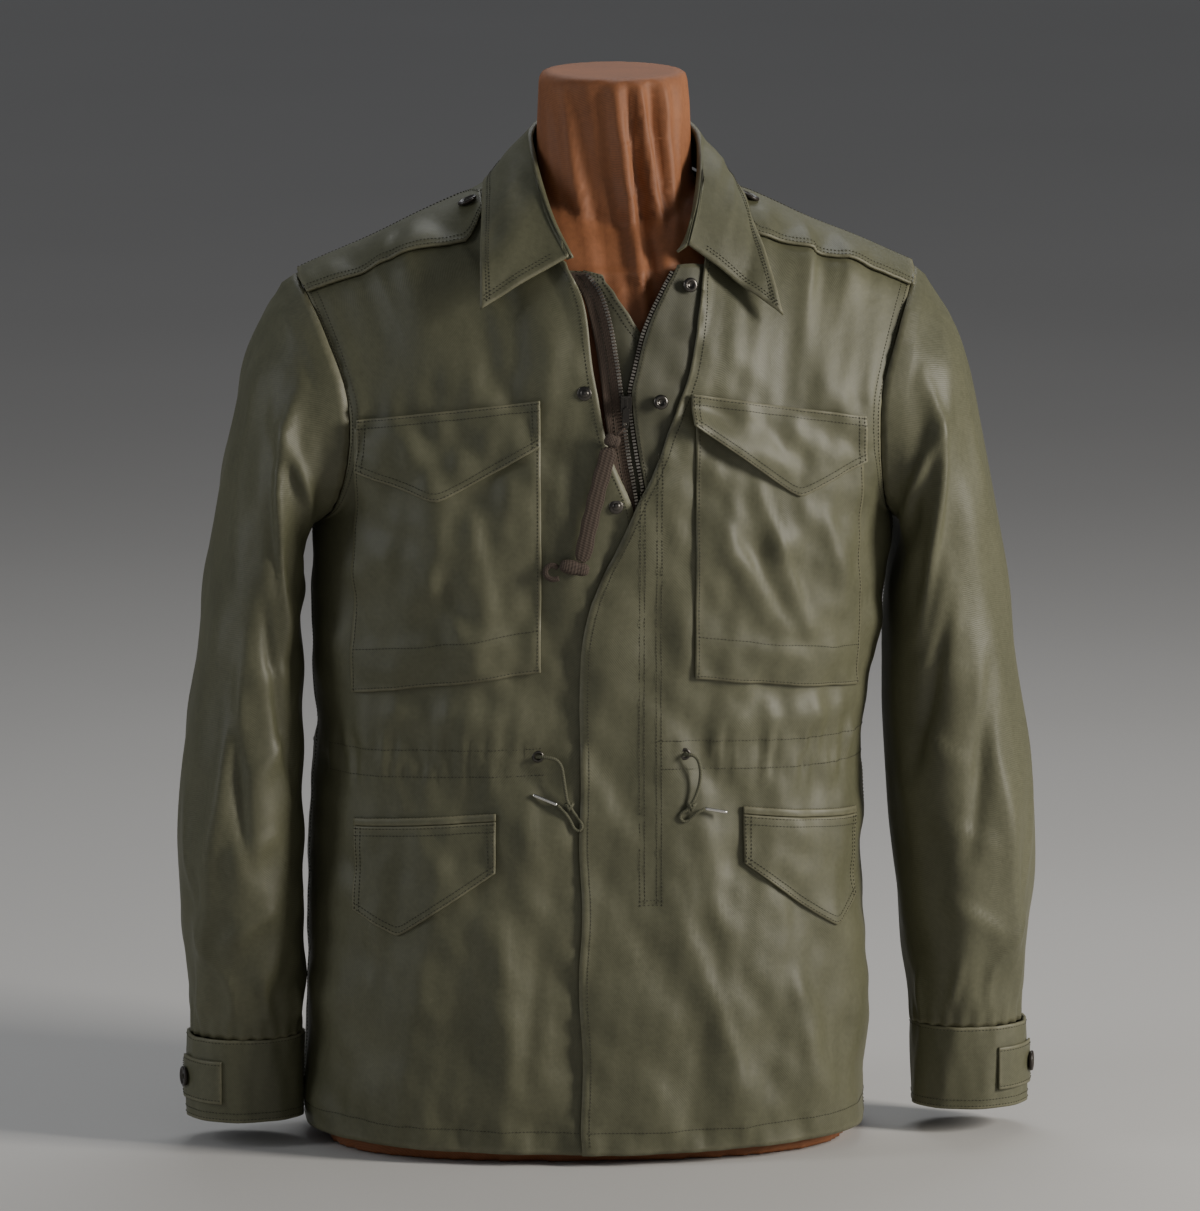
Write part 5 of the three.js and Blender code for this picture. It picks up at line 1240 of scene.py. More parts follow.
@dataclass
class BodyPanels:
    """The two fronts, with the storm fly cut on to the left one, and the back."""

    rows: int = 118
    columns: int = 66
    grids: dict[str, Grid] = field(default_factory=dict)

    def build(self) -> None:
        """Builds the three panels."""
        self.front("left", 1, FLY_EDGE)
        self.front("right", -1, RIGHT_FRONT_EDGE)
        self.back()

    def stations(self) -> Array:
        """The rows' stations, closer together at the hem."""
        stations = graded(self.rows, 760, 22, 3.0, (True, False))
        return np.unique(np.concatenate([np.minimum(stations, 0.9999), [NECK_START]]))

    def front(self, name: str, side: int, edge: Table) -> None:
        """Builds a front from its cut edge to the side seam and armhole.

        Args:
            name: left or right.
            side: 1 or -1.
            edge: the cut edge, by height.
        """
        stations = self.stations()
        ripple = Lumps(31 + side, 80, 0.7, 5)
        start = np.zeros(len(stations))
        for _ in range(12):
            height = SURFACE.base(Face.FRONT, side, np.abs(start), stations)[..., 2]
            x = edge.read(height, "x") + ripple.rise(height * 0, height) * smooth_step(0, 30, height)
            past = ((x - NECK_MIDDLE_X) * side < 0) & (stations <= NECK_START)
            here, over = (SURFACE.across_at(Face.FRONT, way, stations, x) for way in (side, -side))
            start = np.where(past, -over, here)
        shares = graded(self.columns, 240, 16, 2.0)
        signed = mix(start[:, None], SEAM_SHARE, shares[None])
        half = np.where(signed < 0, -side, side).astype(float)
        rows = np.broadcast_to(stations[:, None], signed.shape)
        flat = SURFACE.base(Face.FRONT, half, np.abs(signed), rows)
        lift = fly_raise(flat[..., 0], flat[..., 2]) * (side > 0)
        points = self.eased(SURFACE.point(Face.FRONT, half, np.abs(signed), rows, lift), stations)
        grid = Grid(points).facing((0, 60, 400))
        node = f"front_{name}"
        self.grids[node] = WARDROBE.cloth(f"cloth_{node}", grid, self.wall(grid), [node])

    @staticmethod
    def eased(points: Array, stations: Array) -> Array:
        """Evens out the rows round the neckline's start, away from the cut edge.

        Args:
            points: the panel's points.
            stations: the station of each row.

        Returns:
            The points, with the bend between the rows made soft.
        """
        near = smooth_step(0.82, 0.88, stations) * smooth_step(0.955, 0.92, stations)
        inside = smooth_step(1, 7, np.arange(points.shape[1]))
        share = (near[:, None] * inside[None])[..., None]
        eased = points.copy()
        for _ in range(EASING_PASSES):
            middle = (np.roll(eased, 1, axis=0) + np.roll(eased, -1, axis=0)) / 2
            eased = mix(eased, middle, share * 0.8)
        return eased

    @staticmethod
    def wall(grid: Grid) -> Array:
        """The wall's thickness: double beside the edges, where the cloth is turned in."""
        return 1.1 + 0.9 * smooth_step(13, 9, grid.edge_distance())

    def back(self) -> None:
        """Builds the back: its halves meet at the centre line and part round the neckline."""
        stations = self.stations()
        half = graded(self.columns - 10, 235, 14, 3.5, (False, True))
        across = np.concatenate([half[::-1], half])
        side = np.concatenate([-np.ones(len(half)), np.ones(len(half))])
        rows, shares = np.meshgrid(stations, np.minimum(across, SEAM_SHARE), indexing="ij")
        sides = np.broadcast_to(side, rows.shape)
        centre = len(half) - 1
        points = SURFACE.point(Face.BACK, sides, shares, rows, 0.0)
        for part in (slice(centre, None, -1), slice(centre + 1, None)):
            points[:, part] = self.eased(points[:, part], stations)
        grid = Grid(points)
        grid.normals = SURFACE.normal(Face.BACK, sides, shares, rows)
        self.grids["back"] = WARDROBE.cloth(
            "cloth_back", grid, 1.4, ["back"],
            keep=lambda row, column: column != centre or stations[row + 1] <= NECK_START)

    def seams(self) -> list[Array]:
        """The lines of stitches on the panels."""
        left, right, back = self.grids["front_left"], self.grids["front_right"], self.grids["back"]
        lines = [left.seam(Edge.FIRST_COLUMN, 6.5, (8, 4)), left.seam(Edge.FIRST_ROW, 18, (5, 4)),
                 right.seam(Edge.FIRST_ROW, 18, (5, 4)), right.seam(Edge.FIRST_COLUMN, 5, (350, 4)),
                 back.seam(Edge.FIRST_ROW, 18, (4, 4))]
        for grid in (left, right):
            lines += [grid.seam(Edge.LAST_COLUMN, inset, (470, 4)) for inset in (2.5, 7.5)]
            lines += [grid.seam(Edge.LAST_ROW, inset, (22, 6)) for inset in (2.5, 7.5)]
            lines.append(grid.seam(Edge.LAST_COLUMN, 4.0, (4, 360)))
        for shift, low in ((14.6, 206), (18.4, 208), (27.8, 208), (31.6, 206)):
            z = np.linspace(low, 552 if shift < 20 else 562, 120)
            lines.append(SURFACE.front_point(shift + z * 0, z, fly_raise(shift + z * 0, z) + STITCH_LIFT))
        x = np.linspace(14.6, 31.6, 8)
        for z in (206.0, 209.5):
            lines.append(SURFACE.front_point(x, z + x * 0, fly_raise(x, z + x * 0) + STITCH_LIFT))
        for z, ends in ((335, (30, 205)), (313, (32, 205)), (333, (-62, -222)), (312, (-60, -222))):
            x = np.linspace(*ends, 70)
            lines.append(SURFACE.front_point(x, z - np.abs(x - 30) * 0.04, panel_raise(x, z + x * 0) + STITCH_LIFT))
        for height in (332, 312):
            low = int(np.argmin(np.abs(back.points[:, 0, 2] - height)))
            lines.append(even_line(back.moved(STITCH_LIFT)[low, 3:-3], STITCH_STEP))
        return lines


BAG_RELIEF = {
    1: Relief((*folds("""
        107 531 147 418 8 5.5 0.6; 94 536 122 440 9 -2.6; 128 530 158 440 7 -2; 84 528 92 448 8 1.6;
        156 528 178 430 9 4 -0.4; 70 520 132 412 8 3.4 0.5; 66 410 184 398 6 1.3 0.6; 126 400 176 384 7 1.3"""),
        Lumps(41, 40, 0.7),
        Lumps(44, 19, 0.18))),
    -1: Relief((*folds("""
        -120 530 -100 440 9 4 0.4; -134 530 -150 430 9 3 0.4; -92 540 -80 450 8 1.8; -170 530 -184 440 9 2.2;
        -150 470 -120 410 9 1.8 0.4; -70 412 -196 400 6 1.3 0.6; -80 402 -120 392 7 1.2"""),
        Lumps(42, 40, 0.8),
        Lumps(45, 19, 0.18))),
}


@dataclass
class Patches(Sewn):
    """Chest pockets with their flaps, and the welts and flaps of the hip pockets."""

    lift: float = 2.2
    swell: float = 3.5
    flap_lift: float = 2.4
    pockets: Rows = ((1, 58, 192, 600, 578, 384, 366), (-1, -62, -203, 598, 578, 390, 368))
    chest_flaps: Rows = (
        (1, 54, 193, 607, 583, 584, 548, 139, 523), (-1, -62, -201, 603, 585, 568, 545, -139, 523))
    hip_flaps: Rows = (
        (1, 97, 190, 274, 262, 236, 198, 170, 178), (-1, -97, -203, 272, 262, 232, 196, -172, 178))

    def swelling(self, pocket: Sequence[float], x: Array, z: Array) -> Array:
        """How far a chest pocket stands off its front, before its own wall.

        Args:
            pocket: the pocket's row of sizes.
            x: places across.
            z: places up.

        Returns:
            The lift in millimetres.
        """
        side, inner, outer, inner_top, outer_top, inner_low, outer_low = pocket
        across = np.clip((x - inner) / (outer - inner), 0, 1)
        top, low = mix(inner_top, outer_top, across), mix(inner_low, outer_low, across)
        up = np.clip((z - low) / (top - low), 0, 1)
        crown = np.sin(np.pi * across) * np.sin(np.pi * up) ** 0.7
        edge = smooth_step(0, 0.08, across) * smooth_step(1, 0.92, across) * smooth_step(0, 0.05, up)
        return self.lift + self.swell * crown + BAG_RELIEF[int(side)].rise(x, z) * edge

    def patch(self, name: str, x: Array, z: Array, lift: Array, nodes: Sequence[str],
              rests_on: Sequence[str], thick: Values = WALL) -> Grid:
        """Builds one patch from its places on the front.

        Args:
            name: the piece's name.
            x: places across, as a grid.
            z: places up, as a grid.
            lift: how far its outer face stands off the front.
            nodes: the solids that it stands for.
            rests_on: what it lies on; not used.
            thick: its wall.

        Returns:
            Its grid.
        """
        grid = Grid(SURFACE.front_point(x, z, lift + panel_raise(x, z))).facing((0, 400, 400))
        return WARDROBE.cloth(name, grid, thick, nodes)

    def build(self) -> None:
        """Builds all patches and gathers their stitches."""
        for pocket, flap in zip(self.pockets, self.chest_flaps):
            name = "left" if pocket[0] > 0 else "right"
            self.bag(pocket, name)
            self.flap(flap, f"chest_flap_{name}", lambda x, z, one=pocket: self.swelling(one, x, z) + self.flap_lift,
                      [f"chest_pocket_{name}"], int(pocket[0]))
        for flap in self.hip_flaps:
            name = "left" if flap[0] > 0 else "right"
            self.flap(flap, f"hip_flap_{name}", lambda x, z: np.full(np.shape(x), self.lift), [f"front_{name}"], 0)
            across, up = np.meshgrid(graded(30, 100, 4, 1.5), np.linspace(0, 1, 7))
            x, z = mix(flap[1], flap[2], across), mix(flap[3], flap[4], across) + 0.5 + 6 * up
            grid = self.patch(f"cloth_hip_welt_{name}", x, z, self.lift + 0.6 * np.sin(np.pi * up),
                              [f"hip_welt_{name}"], [f"front_{name}"])
            self.stitches.append(grid.seam(Edge.LAST_ROW, 0.0, (2, 2), -0.2))

    def bag(self, pocket: Sequence[float], name: str) -> None:
        """Builds a chest pocket's bag with its turned lower fold."""
        _, inner, outer, inner_top, outer_top, inner_low, outer_low = pocket
        across, up = np.meshgrid(graded(34, 138, 8, 1.6), graded(44, 215, 8, 1.6, (True, False)))
        x = mix(inner, outer, across)
        z = mix(mix(inner_low, outer_low, across), mix(inner_top, outer_top, across), up)
        low = mix(inner_low, outer_low, across)
        fold = 0.8 * smooth_step(37.5, 35.5, z - low)
        grid = self.patch(f"cloth_chest_pocket_{name}", x, z, self.swelling(pocket, x, z) + fold,
                          [f"chest_pocket_{name}"], [f"front_{name}"], 1.5 + fold)
        self.stitches += [grid.seam(edge, 2.6, (2, 2)) for edge in (Edge.FIRST_COLUMN, Edge.LAST_COLUMN,
                                                                    Edge.FIRST_ROW)]
        self.stitches.append(grid.seam(Edge.FIRST_ROW, 34, (3, 3)))

    def flap(self, shape: Sequence[float], node: str, under: Callable, rests_on: Sequence[str], side: int) -> None:
        """Builds a pointed flap.

        Args:
            shape: its row of sizes.
            node: the solid that it stands for.
            under: the lift of what it hangs on.
            rests_on: the names of what it hangs on.
            side: 1 or -1 for a chest flap, 0 for a hip flap.
        """
        _, inner, outer, inner_top, outer_top, inner_side, outer_side, point_x, point_z = shape
        tip = (point_x - inner) / (outer - inner)
        shares = graded(36, 138, 7, 1.6)
        shares = np.unique(np.append(shares, 0.5))
        across, down = np.meshgrid(np.where(shares < 0.5, shares * 2 * tip, mix(tip, 1, shares * 2 - 1)),
                                   graded(22, 70, 7, 1.6))
        rounded = np.exp(-((across - tip) / 0.02) ** 2) * 1.2
        low = np.where(across < tip, mix(inner_side, point_z, across / tip),
                       mix(point_z, outer_side, (across - tip) / (1 - tip))) + rounded
        x, z = mix(inner, outer, across), mix(mix(inner_top, outer_top, across), low, down)
        lift = under(x, z) + 0.9 * np.sin(np.pi * across) * np.sin(np.pi * down)
        if side == 1:
            lift = lift + 8.5 * smooth_step(0.7, 0.1, across) * smooth_step(0.25, 1.0, down)
            lift = lift + 1.6 * np.sin(across * 7.5 + 0.5) * down * smooth_step(0, 0.2, across)
        elif side == -1:
            lift = lift + 2.2 * np.sin(across * 8 + 1.0) * down + 1.4 * down
        else:
            lift = lift + 1.2 * np.sin(across * 6) * down + 0.6 * down
        lift = lift + Lumps(51, 30, 0.35).rise(x, z) * np.sin(np.pi * np.clip(down, 0.05, 1) * 0.8)
        grid = self.patch(f"cloth_{node}", x, z, lift, [node], rests_on, 1.7)
        for inset in (2.2, 6.6):
            self.stitches += [grid.seam(Edge.FIRST_COLUMN, inset, (2, 3)), grid.seam(Edge.LAST_COLUMN, inset, (2, 3)),
                              grid.seam(Edge.LAST_ROW, inset, (2, 2))]
        self.stitches += [grid.seam(Edge.FIRST_ROW, inset, (1, 1)) for inset in (2.0, 7.5)]


SLEEVE_SECTIONS = Table("""
    row out_x out_z inner_left inner_right in_z depth middle_y on_armhole
    0 253 680 230 236 481 91 3 0.7; 1 264 664 228 237 468 91 3 0.35; 2 275 643 226 238 453 89 2 0.1;
    3 285 608 223 239 434 86 1 0; 4 294 568 221 240 411 82 0 0; 5 303 524 219 239 384 78 -2 0;
    6 311 478 219 240 353 75 -4 0; 7 318 430 220 240 320 73 -6 0; 8 323 382 221 240 286 72 -8 0;
    9 330 336 223 240 254 71 -9 0; 10 336 292 226 240 224 70 -10 0; 11 339 250 229 240 197 68 -11 0;
    12 338 212 231 240 172 64 -12 0; 13 336 177 234 240 149 59 -12 0; 14 333 145 237 240 127 53 -12 0;
    15 330 115 239 241 106 46 -12 0; 16 329 86.4 241 242 86.4 40 -12 0""")
SLEEVE_FOLDS = rows_of("""
    40 0.05 75 0.55 12 4 0; 95 0.3 60 0.5 10 -4 0; 120 0.62 60 0.9 11 5 0.3; 140 0.45 90 0.62 11 -4 0;
    250 0.2 300 0.6 14 4 0; 230 0.5 300 0.9 14 4 0; 60 0.8 130 0.9 10 4 0; 330 0.75 220 0.88 12 -4 0;
    88 0.42 130 0.52 7 2.6 0.5; 80 0.52 128 0.6 7 2.4 0.5; 70 0.3 120 0.38 7 2.2 0.5; 60 0.16 116 0.26 8 2.4 0.5;
    74 0.1 30 0.2 7 2 -0.4; 46 0.18 20 0.34 7 2 -0.4; 110 0.04 100 0.14 6 2.6 0.4; 72 0.03 70 0.12 6 2.4 0.4;
    30 0.03 34 0.13 6 2.2 0.4; 150 0.03 150 0.12 6 2.2 0; 96 0.7 70 0.86 8 2.4 0.5; 40 0.62 34 0.8 9 1.8 0.4;
    220 0.44 262 0.54 8 2.6 0.5; 226 0.56 270 0.64 8 2.2 0.5; 240 0.1 260 0.2 7 2.2 0""")


@dataclass
class Sleeves(Sewn):
    """Two set-in sleeves, their cuffs and the cuffs' tabs and buttons.

    A sleeve's folds are set by degrees round it and by shares of its length.
    """

    DEGREE: ClassVar[float] = 1.4
    LENGTH: ClassVar[float] = 560.0
    ring: int = 84
    cuff_top: float = 86
    cuff_bottom: float = 20
    half_width: float = 46
    half_depth: float = 41
    middle: tuple[float, float] = (287, -12)
    tab_height: float = 52
    tab_width: float = 34
    seam_turns: tuple[float, float] = (200, 292)

    def armhole(self, side: float, place: Array) -> Array:
        """The armhole seam at places on the sleeve's ring, from the shoulder point round the front."""
        station = mix(UNDERARM, 1, np.abs(1 - 2 * place))
        front, back = (SURFACE.row_end(face, side, station) for face in (Face.FRONT, Face.BACK))
        return np.where((place <= 0.5)[:, None], front, back)

    def sleeve(self, name: str, side: float) -> None:
        """Builds a sleeve from its armhole to its cuff."""
        place = np.arange(self.ring) / self.ring
        turn = place * 2 * np.pi
        sewn = self.armhole(side, place)
        head = sewn + np.array([side * 2 * SEAM_GAP, 0, 0])
        middle_sewn = np.array([side * 233, 3, 588])
        rings, shares = [head], [1.0]
        for row in np.linspace(0, 16, 105):
            read = {column: float(SLEEVE_SECTIONS.read(row, column)) for column in SLEEVE_SECTIONS.columns}
            in_x = read["inner_left"] if side > 0 else read["inner_right"]
            middle = np.array([(read["out_x"] + in_x) / 2 * side, read["middle_y"],
                               (read["out_z"] + read["in_z"]) / 2])
            half = np.array([(read["out_x"] - in_x) / 2 * side, 0, (read["out_z"] - read["in_z"]) / 2])
            around = middle + half * np.cos(turn)[:, None]
            around[:, 1] -= read["depth"] * np.sin(turn)
            rings.append(mix(around, sewn - middle_sewn + middle, np.clip(read["on_armhole"], 0, 1)))
            shares.append(1 - (row + 1) / 17)
        rings.insert(1, mix(rings[0], rings[1], 0.4))
        shares.insert(1, mix(1.0, shares[1], 0.4))
        inside = (side * 272, -8, 380)
        grid = Grid(np.array(rings), ring=True).facing(inside)
        share = np.array(shares)[:, None]
        degrees = np.degrees(turn)[None]
        scale = (self.DEGREE, self.LENGTH, self.DEGREE, self.LENGTH, 1, 1, 1)
        relief = Relief(tuple(Fold(*(size * by for size, by in zip(row, scale))) for row in SLEEVE_FOLDS))
        soft = Lumps(61 if side > 0 else 62, 64, 0.9)
        x, z = np.broadcast_arrays(degrees * self.DEGREE, share * self.LENGTH)
        wrap = smooth_step(0, 10, degrees) * smooth_step(360, 350, degrees)
        gather = 0.9 * np.sin(degrees * np.pi / 180 * 22 + 1) * smooth_step(0.07, 0.0, share)
        fade = smooth_step(0, 0.06, share) * smooth_step(1, 0.9, share)
        lift = (relief.rise(x, z) * 1.35 + soft.rise(x, z) * wrap) * fade + gather
        lift = lift + 0.7 * np.sin(degrees * np.pi / 180 * 30) * np.exp(-(((1 - share) / 0.03) ** 2))
        seam = sum(np.exp(-(((degrees - degree) * self.DEGREE / 2.2) ** 2)) for degree in self.seam_turns)
        lift = lift + 0.7 * seam * fade
        moved = Grid(grid.moved(lift), ring=True).facing(inside)
        WARDROBE.cloth(f"cloth_sleeve_{name}", moved, 1.3, [f"sleeve_{name}"])
        for degree in self.seam_turns:
            column = (degree + 3.4) / 360 * self.ring
            low = int(column)
            line = mix(moved.moved(STITCH_LIFT)[:, low], moved.moved(STITCH_LIFT)[:, low + 1], column - low)
            self.stitches.append(even_line(line, STITCH_STEP, (6, 6)))

    def cuff_point(self, side: float, turn: Array, z: Array, lift: Values) -> Array:
        """A point of a cuff, by turn in degrees from outermost towards the front."""
        angle = np.radians(turn)
        wave = 0.7 * np.sin(3 * angle + 1.2 * side) + 0.4 * np.sin(5 * angle + z * 0.05)
        return placing(side * (self.middle[0] + (self.half_width + lift + wave) * np.cos(angle)),
                       self.middle[1] - (self.half_depth + lift + wave) * np.sin(angle), z)

    def cuff(self, name: str, side: float) -> None:
        """Builds a cuff, its tab and its button."""
        heights = mix(self.cuff_bottom, self.cuff_top, graded(14, 66, 6, 1.5))
        turns = np.linspace(0, 360, self.ring, endpoint=False)
        turn, z = np.meshgrid(turns, heights)
        roll = 0.5 * np.sin((z - self.cuff_bottom) / 66 * np.pi) + 0.5 * np.sin(np.radians(turn) * 9 + z / 21)
        roll = roll + 0.35 * np.sin(np.radians(turn) * 17 + side) * np.cos(z / 13)
        grid = Grid(self.cuff_point(side, turn, z, roll),
                    ring=True).facing((side * self.middle[0], self.middle[1], 53))
        WARDROBE.cloth(f"cloth_cuff_{name}", grid, 2.4, [f"cuff_{name}"])
        self.stitches += [grid.seam(Edge.FIRST_ROW, 2.6), grid.seam(Edge.LAST_ROW, 2.6),
                          grid.seam(Edge.FIRST_ROW, 7.4)]
        turns = mix(65, -16, graded(30, 66, 5, 1.4))
        half = self.tab_width / 2 * np.minimum(1, 0.06 + (turns + 16) / 20)
        shares = mix(-1, 1, graded(12, 34, 5, 1.4))
        turn = np.broadcast_to(turns[:, None], (len(turns), len(shares)))
        tab = Grid(self.cuff_point(side, turn, self.tab_height + shares[None] * half[:, None],
                                   2.6 + 0.3 * np.cos(turn / 9)))
        tab.facing((side * self.middle[0], self.middle[1], 53))
        WARDROBE.cloth(f"cloth_cuff_tab_{name}", tab, 1.7, [f"cuff_tab_{name}"])
        self.stitches += [tab.seam(edge, 2.8, (2, 4)) for edge in (Edge.FIRST_COLUMN, Edge.LAST_COLUMN)]
        seat, above = (self.cuff_point(side, 12.0, self.tab_height, lift) for lift in (2.9, 12.9))
        Fasteners.button(f"cuff_button_{name}", seat, above - seat)

    def build(self) -> None:
        """Builds both sleeves with their cuffs."""
        for name, side in SIDES:
            self.sleeve(name, side)
            self.cuff(name, side)


COLLAR_RIGHT = Table("""
    share fold_x fold_y fold_z edge_x edge_y edge_z
    0 7 75 806 7 118 759; 0.35 -19 70 805 -36 110 758; 0.7 -46 47 801 -71 77 758; 1 -59 12 795 -93 16 760;
    1.2 -60 -14 784 -99 -28 750; 1.35 -57 -45 765 -103 -66 728; 1.52 -49 -74 738 -106 -94 700;
    1.66 -37 -97 713 -107 -108 672""")
COLLAR_LEFT = Table("""
    share fold_x fold_y fold_z edge_x edge_y edge_z
    0 7 75 806 7 118 759; 0.35 33 70 805 48 110 758; 0.7 60 47 801 81 77 758; 1 73 12 794 95 16 759;
    1.2 73 -14 784 104 -28 750; 1.35 70 -43 766 113 -64 726; 1.5 64 -71 743 121 -90 696;
    1.6 56 -93 720 128 -105 664""")


@dataclass
class Collar(Sewn):
    """The shirt collar: stand and fall in one folded piece, with pointed ends."""

    wall: float = 2.2

    def station(self, table: Table, side: float, share: float) -> Array:
        """The collar's section at a share of its half: from the neckline over the fold to its edge."""
        face = Face.BACK if share <= 1 else Face.FRONT
        station = NECK_START + (1 - NECK_START) * (share if share <= 1 else 2 - share)
        fold = np.array([float(table.read(share, f"fold_{axis}")) for axis in "xyz"])
        edge = np.array([float(table.read(share, f"edge_{axis}")) for axis in "xyz"])
        away = unit((edge - fold) * np.array([1, 1, 0]))
        base = SURFACE.row_start(face, np.array(side), np.array(station)) - away + np.array([0, 0, 2])
        down = np.array([0, 0, 2.4])
        inner, outer = fold - away * 2.4 - down, fold + away * 2.4 - down
        return smooth_line([base, mix(base, inner, 0.5), inner, fold, outer, mix(outer, edge, 0.35) + away * 1.5,
                            mix(outer, edge, 0.7) + away * 1.05, edge], 6)

    def build(self) -> None:
        """Builds the collar from its right tip round the neck to its left tip."""
        rows = [self.station(COLLAR_RIGHT, -1.0, share) for share in 1.66 * graded(52, 260, 9, 2.0,
                                                                                   (False, True))[::-1]]
        rows += [self.station(COLLAR_LEFT, 1.0, share) for share in 1.6 * graded(52, 260, 9, 2.0, (False, True))[1:]]
        grid = Grid(np.array(rows)).facing((6, 0, 700))
        across, along = grid.lengths()
        fall = smooth_step(30, 60, across)
        wave = 1.5 * np.sin(along / 33 + 0.6) + 0.9 * np.sin(along / 15.5) + Lumps(71, 34, 0.5).rise(along, across)
        tip = smooth_step(60, 0, along[-1:] - along) + smooth_step(60, 0, along)
        edge_curl = 1.4 * tip * smooth_step(40, 0, across[:, -1:] - across)
        grid.points = grid.moved(fall * wave * 0.8 + edge_curl + self.wall / 2)
        grid = Grid(grid.points).facing((6, 0, 700))
        WARDROBE.cloth("cloth_collar", grid, self.wall, ["collar"])
        for inset in (6.0, 9.0):
            self.stitches += [grid.seam(Edge.LAST_COLUMN, inset, (4, 4)), grid.seam(Edge.FIRST_ROW, inset, (34, 4)),
                              grid.seam(Edge.LAST_ROW, inset, (34, 4))]


@dataclass
class ShoulderStraps(Sewn):
    """The two shoulder straps with their buttons, laid over the shoulder seam at a share of their width."""

    SEAM: ClassVar[float] = 0.78
    start_x: float = 98
    end_x: float = 240
    button_x: float = 108
    wall: float = 2.2
    lift: float = 3.6

    def point(self, side: float, x: Array, across: Array, lift: Values) -> Array:
        """A point of a strap, by place outward and share across from its front edge."""
        x, across, lift = np.broadcast_arrays(x, across, lift)
        places = []
        for face, station in ((Face.FRONT, mix(0.964, 1, np.minimum(across, self.SEAM) / self.SEAM)),
                              (Face.BACK, mix(1, 0.992, np.maximum(across - self.SEAM, 0) / 0.22))):
            share = SURFACE.across_at(face, side, station, side * x)
            places.append(SURFACE.point(face, side, share, station, lift))
        return np.where((across < self.SEAM)[..., None], *places)

    def build(self) -> None:
        """Builds both straps."""
        for name, side in SIDES:
            length, across = np.meshgrid(graded(34, 142, 8, 1.6), graded(18, 42, 5, 1.4), indexing="ij")
            across = 0.5 + (across - 0.5) * mix(0.35, 1, np.minimum(1, length * 10))
            bow = 0.8 * np.sin(np.pi * across) + 0.7 * np.sin(length * 9 + side) * np.sin(np.pi * length)
            grid = Grid(self.point(side, mix(self.start_x, self.end_x, length), across, self.lift + bow))
            grid.facing((side * 160, 0, 300))
            WARDROBE.cloth(f"cloth_strap_{name}", grid, self.wall, [f"shoulder_strap_{name}"])
            self.stitches += [grid.seam(edge, inset, (3, 1)) for edge in (Edge.FIRST_COLUMN, Edge.LAST_COLUMN)
                              for inset in (2.4, 7.0)]
            seat, above = (self.point(side, np.array([self.button_x]), 0.5, lift)[0] for lift in (4.6, 14.6))
            Fasteners.button(f"shoulder_button_{name}", seat, above - seat)


@dataclass
class Fasteners:
    """Buttons, snaps and eyelets."""

    snaps: tuple[tuple[str, float, float, float], ...] = (
        ("snap_stud_upper", -28, 609, 0.3), ("snap_stud_lower", -4, 521, 0.3),
        ("snap_socket_upper", 55, 688, 0.3), ("snap_socket_lower", 30, 602, 0.3))
    eyelets: tuple[tuple[str, float, float], ...] = (("left", 50, 324), ("right", -64, 323))

    @staticmethod
    def button(node: str, place: Array, outward: Array) -> None:
        """Builds a dished button with its crossed sewing thread.

        Args:
            node: the solid that it stands for.
            place: where its foot stands.
            outward: the direction of its axis.
        """
        profile = [(0, 0), (6.6, 0), (7.6, 0.5), (8, 1.3), (7.9, 2.3), (7.2, 2.9), (6.2, 2.9), (5.4, 2.1),
                   (4.6, 1.75),
                   (0, 1.7)]
        piece = turned_mesh(f"{node}_disc", profile, place, outward, 48)
        WARDROBE.dress(piece, HORN, node)
        outward = unit(outward)
        first = unit(np.cross(outward, (0.12, 0.2, 1.0)))
        second = np.cross(outward, first)
        threads = []
        for index, (start, end) in enumerate(((1, 1), (-1, 1))):
            line = np.array([place + outward * (1.55 + 0.85 * math.sin(share * math.pi))
                             + (first * start + second * end) * 1.7 * math.cos(share * math.pi)
                             for share in np.linspace(0, 1, 9)])
            threads.append(tube_mesh(f"{node}_sewing_{index}", line, 0.75, 0.4, 8))
        WARDROBE.dress(joined(f"{node}_sewing", threads), SHADED_THREAD)

    def on_front(self, x: float, z: float, lift: float) -> tuple[Array, Array]:
        """A place on the front and the direction out of it."""
        places = SURFACE.front_point(np.array([x, x]), np.array([z, z]), np.array([lift, lift + 10]))
        return places[0], places[1] - places[0]

    def build(self) -> None:
        """Builds the snaps and the eyelets."""
        stud = [(0, 0), (5.4, 0), (5.7, 0.4), (5.3, 0.9), (3.3, 1.0), (2.6, 1.3), (2.9, 1.9), (2.5, 2.4), (0, 2.5)]
        socket = [(0, 0.6), (2.4, 0.6), (2.7, 2.0), (3.4, 2.3), (4.9, 2.1), (5.7, 1.2), (5.8, 0.4), (5.4, 0), (0, 0)]
        for name, x, z, lift in self.snaps:
            raised = float(fly_raise(np.array(x), np.array(z))) if x > NECK_MIDDLE_X else 0.0
            place, outward = self.on_front(x, z, lift + raised)
            WARDROBE.dress(turned_mesh(f"{name}_metal", stud if "stud" in name else socket, place, outward), STEEL,
                           name)
        ring = [(2.3, 0.1), (2.5, 0.9), (3.2, 1.4), (4.1, 1.2), (4.7, 0.5), (4.7, 0.0), (2.6, 0.0)]
        for name, x, z in self.eyelets:
            place, outward = self.on_front(x, z, 0.3 + float(panel_raise(np.array(x), np.array(z))))
            WARDROBE.dress(turned_mesh(f"eyelet_{name}_metal", ring, place, outward, 36), STEEL, f"eyelet_{name}")


